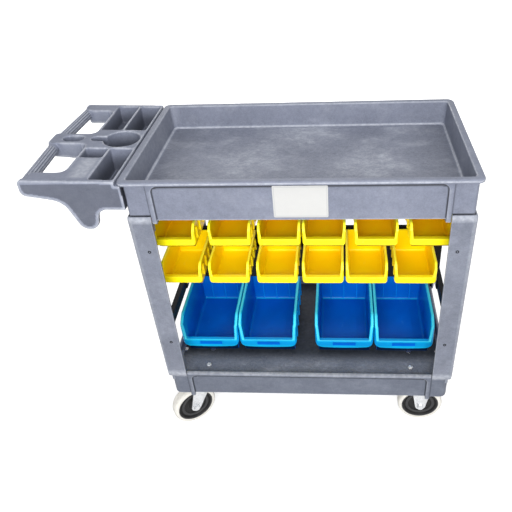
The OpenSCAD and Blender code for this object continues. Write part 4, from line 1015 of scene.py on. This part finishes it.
def handleSkin(d, m):
    # the field on a grid, meshed, with each point's normal along the field's slope
    cell = d["cell"]
    low = np.array([d["spineEnd"] - 3.3 * cell, -d["halfWidth"] - 2.3 * cell, d["top"] - 124])
    high = np.array([d["inside"] + 2.3 * cell, d["halfWidth"] + 2.3 * cell, d["top"] + 6.5 + 2.3 * cell])
    axes = [np.arange(a, b + cell, cell) for a, b in zip(low, high)]
    field, hollow, depth = handleField(*np.meshgrid(*axes, indexing="ij", sparse=True), d)
    points, quads, cells = fieldSkin(field, low, cell)
    slope = np.zeros_like(points)
    for axis in range(3):
        change = np.diff(field, axis=axis)
        place = (points - low) / cell
        place[:, axis] -= 0.5
        base = np.clip(place.astype(int), 0, np.array(change.shape) - 2)
        t = place - base
        for o in cellCorners:
            share = np.prod(np.where(o == 1, t, 1 - t), 1)
            slope[:, axis] += share * change[tuple((base + o).T)]
    # lighter where little of the moulding is near, by wear and painted highlight; painted shade in the wells,
    # on the cheeks and at the tray's joint
    spot, (x, y, z) = tuple(cells.T), points.T
    fill = boxBlur((field < 0).astype(np.float32), m["blur"])[spot]
    wear = np.clip((m["full"] - fill) / m["fade"], 0, 1)
    sunk = np.broadcast_to(depth, field.shape)[spot]
    well = (hollow[spot] < d["wall"] / 2) & (sunk > m["well"][0])
    wear = np.where(well, -m["wellDark"] * smooth(*m["well"], sunk), wear)
    cheeks = (np.abs(y) > d["halfWidth"] - 1.2) & (z < d["top"] - 4)
    wear = wear - m["cheekDark"] * cheeks * (wear < 0.2)
    joint = (x > d["inside"] - 2) & (np.abs(y) > d["stepHalf"] - 6) & (z < d["step"])
    wear = np.where(joint, -m["jointDark"], wear)
    scuff = np.full(len(points), m["haze"])
    return {"points": points, "quads": quads, "ends": [], "wear": wear, "scuff": scuff, "normals": slope}


def gripSkin(d, g):
    # fluted sleeve over a grip bar: radius R - depth (1 - |cos(n a / 2)|) round the axis, sunk at its ends
    first, last = d["collar"]
    side = np.linspace(first, last, g["along"])[:, None]
    a = np.linspace(0, 2 * np.pi, g["around"], endpoint=False)[None, :]
    shown = smooth(first, first + g["blend"], side) * smooth(last, last - g["blend"], side)
    groove = g["depth"] * (1 - np.abs(np.cos(g["flutes"] * a / 2))) ** 1.5
    r = d["core"] - 0.6 + (g["radius"] - groove - d["core"] + 0.6) * shown
    level = d["top"] - d["gripLow"] - d["gripRadius"]
    x, z = tilted(gripLine(side, d) + r * np.cos(a), level + r * np.sin(a), d)
    rings = list(np.stack([x, side + 0 * x, z], -1))
    stuff = skin(rings, 0.0, 0.3)
    # painted shade in the flutes' grooves; ridges lighter by wear and painted highlight
    stuff["wear"] = np.clip(0.7 - 1.6 * groove / g["depth"] + 0 * side, -0.7, 1).ravel()
    return bothWays(stuff, xs=(1,))


handle = outward(handleSkin(handleSizes, handleMarks))
putPiece("handleMoulding", handle, handleGrey, "frame", "grey_plastic", ["handle"])
grips = gripSkin(handleSizes, gripSizes)
putPiece("handleGrips", grips, handleGrey, "frame", "grey_plastic")
print("handle:", len(handle["quads"]), "quads, grips:", len(grips["quads"]))


# Bins

smallBin = {"width": 101.0, "depth": 156.0, "height": 69.0, "wall": 2.5, "front": 33.0, "lipHeight": 17.0,
            "lipDepth": 10.0, "cheek": 50.0, "setBack": 15.0, "toe": 18.0, "edge": 3.8, "draft": 1.5,
            "lugs": 4, "round": 1.6, "corner": 6.0, "fillet": 4.0, "slot": 0.0, "back": 1.2, "chin": 8.0,
            "belly": 0.6, "base": 2.5, "under": 0.8}
largeBin = {"width": 158.0, "depth": 240.0, "height": 125.0, "wall": 3.0, "front": 55.0, "lipHeight": 23.0,
            "lipDepth": 10.0, "cheek": 102.0, "setBack": 31.0, "toe": 20.0, "edge": 5.2, "draft": 3.0,
            "lugs": 5, "round": 2.2, "corner": 8.0, "fillet": 6.0, "slot": 31.0, "back": 1.4, "chin": 20.0,
            "belly": 4.0, "base": 2.5, "slotMargin": 5.5, "slotDeep": 1.6, "under": 0.94}
hookSizes = {"side": 8.0, "inner": -2.4, "outer": 5.6, "z": 61.8, "thick": 2.5, "drop": 10.5, "round": 0.6}
lipSizes = {"side": 16.0, "inner": -3.0, "outer": 8.0, "z": 115.0, "thick": 3.0, "drop": 16.0, "round": 0.8}


def binSkin(d):
    # open-front bin: inside floor and wall, ledge over the front lip, rolled rim, bead, outside wall, base
    w, l, h, t, e, r = (d[k] for k in ("width", "depth", "height", "wall", "round", "corner"))
    half, lipZ, bead = w / 2 - d["edge"], d["front"] - d["lipHeight"], 2 * d["edge"] + 1
    inside = d["lipDepth"] + t
    at = np.linspace(0, 1, 31)
    if d["slot"]:
        near = np.array([-0.8, -0.3, 0.3, 0.8])
        cuts = np.concatenate([near - d["slot"], near + d["slot"]]) / (w - 2 * r) + 0.5
        at = np.unique(np.concatenate([at, cuts]))
    deep = np.concatenate([np.linspace(0, 0.3, 30), np.linspace(0.3, 1, 18)[1:]])
    pattern = ringPattern(at[1:-1], deep[1:-1], 14)
    plan = ring(pattern, -w / 2, w / 2, 0, l, r, 0)
    x, y, lean = plan[:, 0], plan[:, 1], pattern[4]
    slope = d["cheek"] + (h - d["cheek"]) / d["setBack"] * y
    cheekTop = softJoin(slope, h + 0 * slope, 4.0)
    cheekTop = cheekTop - (cheekTop[len(cheekTop) // 2] - h)
    top = d["front"] + (cheekTop - d["front"]) * smooth(0.12, 0.62, lean)
    framed = smooth(bead + 0.9, bead - 0.9, y)
    chin = np.clip(np.abs(x) - (w / 2 - d["chin"]), 0, d["chin"])
    cut = d["chin"] - np.sqrt(d["chin"] ** 2 - chin ** 2) - d["belly"] * (1 - (2 * x / w) ** 2)
    beadZ = (top - bead) * (1 - framed) + (lipZ + cut) * framed
    rings, wear, core = [], [], []

    def wallRing(z, more, outset, front, rub, tub=0):
        # ring on the drafted wall line at height z, more inside it; the front steps back below the lip
        z = z + 0 * x
        hw = half - more + outset - d["draft"] * (1 - z / h)
        toe = (d["toe"] - d["lipDepth"]) * np.clip(1 - z / lipZ, 0, 1)
        y0 = front + toe
        y1 = l - d["back"] - more + outset
        rr = np.clip(r - 2.0 - more * 0.6 + outset, 0.8, None)
        rings.append(ring(pattern, -hw, hw, y0, y1, rr, z))
        wear.append(rub)
        # painted bounce light and shade, growing towards the back and the floor of the tub
        core.append(tub * smooth(0.1 * l, 0.6 * l, rings[-1][:, 1]) * (1 - 0.75 * z / h))

    inSlot = smooth(d["slot"] + 0.4, d["slot"] - 0.4, np.abs(x)) * (lean == 0)

    def frameRing(inset, z, rub, dent=0.0):
        y0 = inset + dent * inSlot
        rings.append(ring(pattern, -w / 2 + inset, w / 2 - inset, y0, l - inset, r - inset, z))
        wear.append(rub)
        core.append(0.0)

    fillet, onLip = d["fillet"], y < d["setBack"]
    for more in (26, 14, 3):
        wallRing(t, t + fillet + more, 0, inside + fillet + more, 0.0, 1)
    # a painted highlight line along the fillet at the back
    for s, c in quarter(6):
        wallRing(t + fillet * (1 - c), t + fillet * (1 - s), 0, inside + fillet * (1 - s),
                 0.05 + 0.5 * (0.2 < s < 0.7) * (y > l - r), 1)
    for z in (lipZ - 1.5, lipZ, lipZ + 1.5):
        wallRing(max(z, t + fillet + 0.5), t, 0, inside, 0.0, 1)
    for s, c in quarter(4):
        wallRing(d["front"] - e + e * s, t, 0, inside - e * (1 - c), (0.15 + 0.25 * s) * onLip, 1)
    wallRing(d["front"] + 0.02, t, 0, e + 1.2, 0.35 * onLip, 1)
    wallRing(np.maximum(d["front"] + 0.03, top - e), t, 0, e + 0.9, 0.25, 1)
    for s, c in quarter(4):
        wallRing(np.maximum(d["front"] + 0.04, top - e + e * s), t, e * (1 - c), e + 0.8 - 0.3 * (1 - c),
                 0.5 + 0.4 * s)
    # the frame lighter, partly as painted highlight, with a painted highlight line on its top
    for s, c in quarter(5):
        frameRing(e * (1 - s), top - e * (1 - c), 1.0 - 0.35 * s)
    high, low = top - e, beadZ + e
    if d["slot"]:
        slotTop = np.maximum(high + e - d["slotMargin"], low + 1.6)
        slotLow = np.maximum(lipZ + d["slotMargin"], low + 0.6)
        # painted shade along the slot's edges
        dark = 0.6 - (0.16 + 0.5 * inSlot)
        frameRing(0.0, slotTop + 0.5, 0.6)
        frameRing(0.0, slotTop - 0.5, dark, d["slotDeep"])
        frameRing(0.0, slotLow + 0.3, dark, d["slotDeep"])
        frameRing(0.0, slotLow - 0.3, 0.6)
    for s, c in quarter(4):
        frameRing(e * (1 - c), beadZ + e * (1 - s), 0.75 - 0.3 * s)
    base, shaded = d["base"], (lean < 0.6) * (y < l / 2)
    # painted shade on the front wall below the lip
    for share in (0.0, 0.02, 0.3, 0.65, 1.0):
        wallRing(beadZ + (base - beadZ) * share, 0, 0, d["lipDepth"], -d["under"] * shaded)
    for s, c in quarter(4):
        wallRing(base * (1 - s), base * (1 - c), 0, d["lipDepth"] + base * (1 - c), 0.2 - shaded)
    wallRing(0.0, base + 4, 0, d["lipDepth"] + base + 4, 0.0)
    # the scuff mark of a bin carries its painted bounce light and shade
    tub = skin(rings, wear, core)
    lugWide, lugLow, lugHigh = 3 * t, h / 4, h / 4 + 0.45 * h
    lugs = [softBlock((half - 2.0, place - lugWide / 2, lugLow), (w / 2 - 0.2, place + lugWide / 2, lugHigh),
                      0.9, wear=0.35) for place in l * np.arange(1, d["lugs"] + 1) / (d["lugs"] + 0.5)]
    return together(tub, bothWays(together(*lugs), ys=(1,)))


def turnedStrip(d, g):
    # strip out from the back wall with its edge turned down: hook of a small bin, lip of a large one
    half, inner, outer = d["width"] / 2 - g["side"], d["depth"] + g["inner"], d["depth"] + g["outer"]
    high = (half, outer, g["z"] + g["thick"])
    over = softBlock((-half, inner, g["z"]), high, g["round"])
    return together(over, softBlock((-half, outer - g["thick"], g["z"] - g["drop"]), high, g["round"]))


def backRibs(d):
    # ribs inside the back wall
    w, l, h, t = d["width"], d["depth"], d["height"], d["wall"]
    ribs = [softBlock((x - t / 2, l - 2 * t - d["back"], t), (x + t / 2, l - t, 0.85 * h), 0.8, wear=0.15)
            for x in (-w / 4, 0.0, w / 4)]
    return together(*ribs)


smallShape = together(binSkin(smallBin), turnedStrip(smallBin, hookSizes))
largeShape = together(binSkin(largeBin), backRibs(largeBin), turnedStrip(largeBin, lipSizes))
hanging = (smallShape, yellow, "yellow_plastic")
binKinds = {"upper_bin_": hanging, "lower_bin_": hanging, "large_bin_": (largeShape, blue, "blue_plastic")}
for name in sorted(frame["nodes"]):
    for start, (shape, finish, slot) in binKinds.items():
        if name.startswith(start):
            low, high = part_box(name)
            place = np.array([(low.x + high.x) / 2, low.y, low.z])
            putPiece(name + "_skin", shape, finish, name, slot, [name], place)
print("bins:", len(smallShape["quads"]), "and", len(largeShape["quads"]), "quads")


# Wheels

wheelSizes = {"radius": 62.5, "half": 16.0, "core": 51.5, "hub": 18.7, "hubRadius": 16.0, "bore": 7.05,
              "ring": 37.0, "web": 9.0, "ringHigh": 3.0, "steps": 96}


def latheSkin(outline, steps, centre, axis, wear):
    # closed outline (radius, place along the axis) turned about the axis
    axis = np.asarray(axis, float)
    one = np.cross(axis, (0, 0, 1.0))
    two = np.cross(axis, one)
    a = np.linspace(0, 2 * np.pi, steps, endpoint=False)
    spoke = np.cos(a)[:, None] * one + np.sin(a)[:, None] * two
    rings = [np.asarray(centre) + r * spoke + h * axis for r, h in outline]
    return skin(rings, wear, looped=True)


def wheelOutlines(d):
    b, c, h, g = d["bore"], d["core"], d["half"], d["hub"]
    web, face, k = d["web"], d["half"] - 1, d["ring"]
    side = [(d["hubRadius"], g), (d["hubRadius"], web), (k - 5, web), (k - 3, web + d["ringHigh"]),
            (k + 3, web + d["ringHigh"]), (k + 5, web), (c - 6, web), (c - 3, face), (c - 0.2, face)]
    radii = [1.6, 2.5, 1.2, 1.0, 1.0, 1.2, 2.0, 1.2, 0.4]
    upper = [(b, g)] + side
    core = upper + [(r, -z) for r, z in upper[::-1]]
    coreRadii = [0.6] + radii
    core, _ = filleted(core, coreRadii + coreRadii[::-1], 4)
    r = d["radius"]
    tyre = [(c, -h), (r - 3.2, -h), (r, -h + 7), (r, h - 7), (r - 3.2, h), (c, h)]
    tyre, _ = filleted(tyre, [0.5, 3.5, 6, 6, 3.5, 0.5], 6)
    return core, tyre


coreOutline, tyreOutline = wheelOutlines(wheelSizes)
# painted highlight on the core's raised ring and outer faces
coreEdgeLight = 0.7 * (np.abs(coreOutline[:, 1]) > wheelSizes["web"] + 1.5)
treadWear = smooth(wheelSizes["radius"] - 3.0, wheelSizes["radius"] - 0.3, tyreOutline[:, 0])
for joint in frame["joints"]:
    if not joint["name"].endswith("_roll"):
        continue
    body = joint["child"]
    centre = np.array(joint["pos_m"]) / mm - home / mm
    corner = body.replace("wheel_", "")
    core = latheSkin(coreOutline, wheelSizes["steps"], centre, joint["axis"], coreEdgeLight)
    tyre = latheSkin(tyreOutline, wheelSizes["steps"], centre, joint["axis"], treadWear)
    putPiece(f"wheel_{corner}_core", core, coreBlack, body, "wheel_core", ["wheel_" + corner])
    putPiece(f"tyre_{corner}_tread", tyre, cream, body, "tyre", ["tyre_" + corner])
print("wheels done")


# Small fasteners that sit in plain plastic

screwSizes = {"x": 343.5, "levels": (371.0, 657.0), "head": 4.3, "shank": 1.9, "length": 13.0, "dome": 0.7}
boltTops = {"radius": 7.0, "proud": 0.2, "tall": 5.0, "front": -140.0}


def screwSkin(d, centre, axis):
    # domed head with a round socket, standing in its dark seat, and the shank behind it
    outline = [(0.05, -d["length"]), (d["shank"], -d["length"]), (d["shank"], -0.4), (d["head"], -0.4),
               (d["head"] - 0.4, 0.25), (2.0, d["dome"]), (1.5, -0.6), (0.05, -0.6)]
    outline, _ = filleted(outline, [0.02, 0.3, 0.1, 0.1, 0.3, 0.2, 0.2, 0.02], 3)
    return latheSkin(outline, 24, centre, axis, 0.0)


screws = [screwSkin(screwSizes, (sx * screwSizes["x"], sy * (postSizes["outY"] + 0.1), z), (0, sy, 0))
          for sx in (1, -1) for sy in (1, -1) for z in screwSizes["levels"]]
putPiece("crossbarScrewHeads", together(*screws), black, "frame", "black_steel", ["crossbar_screws"])


def boltTop(d, x, y, z):
    # six-sided head on the shelf floor, taller at the open front
    a = np.arange(6) * np.pi / 3
    hexagon = np.stack([np.cos(a), np.sin(a)], 1) * d["radius"]
    outline, normal = filleted(hexagon, [0.8] * 6, 3)
    proud = d["tall"] if y < d["front"] else d["proud"]
    edge = min(0.8, proud * 0.7)
    stops = [(0.0, z - 3), (0.0, z + proud - edge), (-edge, z + proud), (-2.0, z + proud)]
    rings = [np.column_stack([outline + normal * out + (x, y), np.full(len(outline), h)]) for out, h in stops]
    return skin(rings, 0.3)


boltRows = [sy * casters["y"] + by for sy in (1, -1) for by in (-casters["boltY"], casters["boltY"])]
for name, finish, rows in (("casterBoltFront", paleZinc, [y for y in boltRows if y < boltTops["front"]]),
                           ("casterBoltTops", zinc, [y for y in boltRows if y > boltTops["front"]])):
    tops = [boltTop(boltTops, sx * casters["x"] + bx, y, shelfDeep["floor"])
            for sx in (1, -1) for bx in (-casters["boltX"], casters["boltX"]) for y in rows]
    putPiece(name, together(*tops), finish, "frame", "zinc")
print("fasteners done")

# Solids kept as they are, with a finish of their own

kept = {"crossbar_": black, "upright_": black, "rail_": black, "rack_bolts": zinc, "post_bolts": zinc,
        "handle_bolts": zinc, "caster_bolts": zinc, "fixed_fork": zinc, "swivel_": zinc, "kingpin": zinc,
        "axle": zinc}
for name, node in frame["nodes"].items():
    for start, finish in kept.items():
        if name.startswith(start) and not node.hide_render:
            for holder in node.material_slots:
                holder.material = finish
print("kept solids finished")


# Stage, light and camera

stage = {"size": 14.0, "cells": 8, "drop": 0.0005, "floor": (rgb(0.66, 0.66, 0.66), rgb(0.68, 0.68, 0.68)),
         "world": 0.36, "glow": 0.6, "near": 1.1, "far": 2.3}


def shownTo(flow, *rays):
    # 1 where a ray is of one of these kinds: 0 camera, 3 glossy, 6 transmission
    kinds = [flow.make("ShaderNodeLightPath", pick=n) for n in rays]
    return reduce(lambda a, b: a.sum("MAXIMUM", a, b), kinds)


def paleFloor(tones):
    # white to the eye, plain pale under the object's shadow
    material, flow, place = startFinish("paleFloor")
    mottle = cloud(place, 3.0, 3.0)
    tone = mottle.tint(*tones["floor"])
    shown = shownTo(flow, 0, 3)
    apart = place.make("ShaderNodeVectorMath", {"operation": "LENGTH"}, pick=1, s0=place)
    glow = apart.rise(tones["near"], tones["far"]) * (1 - tones["glow"]) + tones["glow"]
    endFinish(flow, Base_Color=tone, Roughness=0.7, Specular_IOR_Level=0.1,
              Emission_Color=(shown * glow).tint(rgb(0, 0, 0), rgb(1, 1, 1)), Emission_Strength=1.0)
    return material


def floorSheet(d):
    n = d["cells"] + 1
    at = np.linspace(-d["size"] / 2, d["size"] / 2, n)
    x, y = np.meshgrid(at, at, indexing="ij")
    points = np.stack([x, y, 0 * x - d["drop"]], -1).reshape(-1, 3)
    first = np.arange(n * n).reshape(n, n)[:-1, :-1].ravel()
    quads = np.stack([first, first + n, first + n + 1, first + 1], 1)
    mesh = bpy.data.meshes.new("floor")
    mesh.from_pydata(points.tolist(), [], quads.tolist())
    floor = bpy.data.objects.new("floor", mesh)
    bpy.context.scene.collection.objects.link(floor)
    mesh.materials.append(paleFloor(d))


floorSheet(stage)
world = bpy.data.worlds.new("studio")
bpy.context.scene.world = world
world.use_nodes = True
world.node_tree.nodes.clear()
sky = Flow(world.node_tree)
shown = shownTo(sky, 0, 3, 6)
strength = stage["world"] + shown * (1 - stage["world"])
light = sky.make("ShaderNodeBackground", Color=rgb(1, 1, 1), Strength=strength)
sky.make("ShaderNodeOutputWorld", Surface=light)

lamps = {
    "key": {"at": (0.6, -0.9, 3.2), "aim": (0.1, 0.0, 0.6), "size": 2.0, "power": 34.0},
    "front": {"at": (0.15, -2.0, 1.45), "aim": (0.13, 0.0, 0.6), "size": 1.15, "power": 50.0},
    "back": {"at": (-0.3, 2.5, 0.95), "aim": (0.1, 0.0, 0.5), "size": 1.5, "power": 26.0},
}
for name, d in lamps.items():
    lamp = bpy.data.lights.new(name, "AREA")
    lamp.size, lamp.energy = d["size"], d["power"]
    holder = bpy.data.objects.new(name, lamp)
    holder.location = d["at"]
    holder.rotation_mode = "QUATERNION"
    holder.rotation_quaternion = (Vector(d["aim"]) - Vector(d["at"])).to_track_quat("-Z", "Y")
    bpy.context.scene.collection.objects.link(holder)

cameraSizes = {"at": (93.0, -1227.0, 1417.0), "yaw": -5.05, "pitch": 34.34, "roll": -3.08, "focal": 571.7,
               "middle": (300.6, 229.2), "image": 512.0, "sensor": 36.0}


def photoCamera(d):
    # yaw, pitch and roll as three axes; the lens and shift come from the focal length and middle in pixels
    yaw, pitch, roll = np.radians([d["yaw"], d["pitch"], d["roll"]])
    ahead = np.array([np.sin(yaw) * np.cos(pitch), np.cos(yaw) * np.cos(pitch), -np.sin(pitch)])
    right = np.array([np.cos(yaw), -np.sin(yaw), 0])
    up = np.cross(right, ahead)
    across = np.cos(roll) * right + np.sin(roll) * up
    over = -np.sin(roll) * right + np.cos(roll) * up
    spot = np.array(d["at"]) * mm + home
    camera = bpy.data.objects.new("camera", bpy.data.cameras.new("camera"))
    camera.matrix_world = Matrix([*np.stack([across, over, -ahead, spot], 1).tolist(), [0, 0, 0, 1]])
    lens = camera.data
    lens.sensor_width = d["sensor"]
    lens.lens = d["focal"] / d["image"] * d["sensor"]
    lens.shift_x = 0.5 - d["middle"][0] / d["image"]
    lens.shift_y = d["middle"][1] / d["image"] - 0.5
    lens.clip_start, lens.clip_end = 0.05, 50.0
    bpy.context.scene.collection.objects.link(camera)
    bpy.context.scene.camera = camera


photoCamera(cameraSizes)
bpy.context.scene.view_settings.view_transform = "Standard"
print("stage, light and camera set")
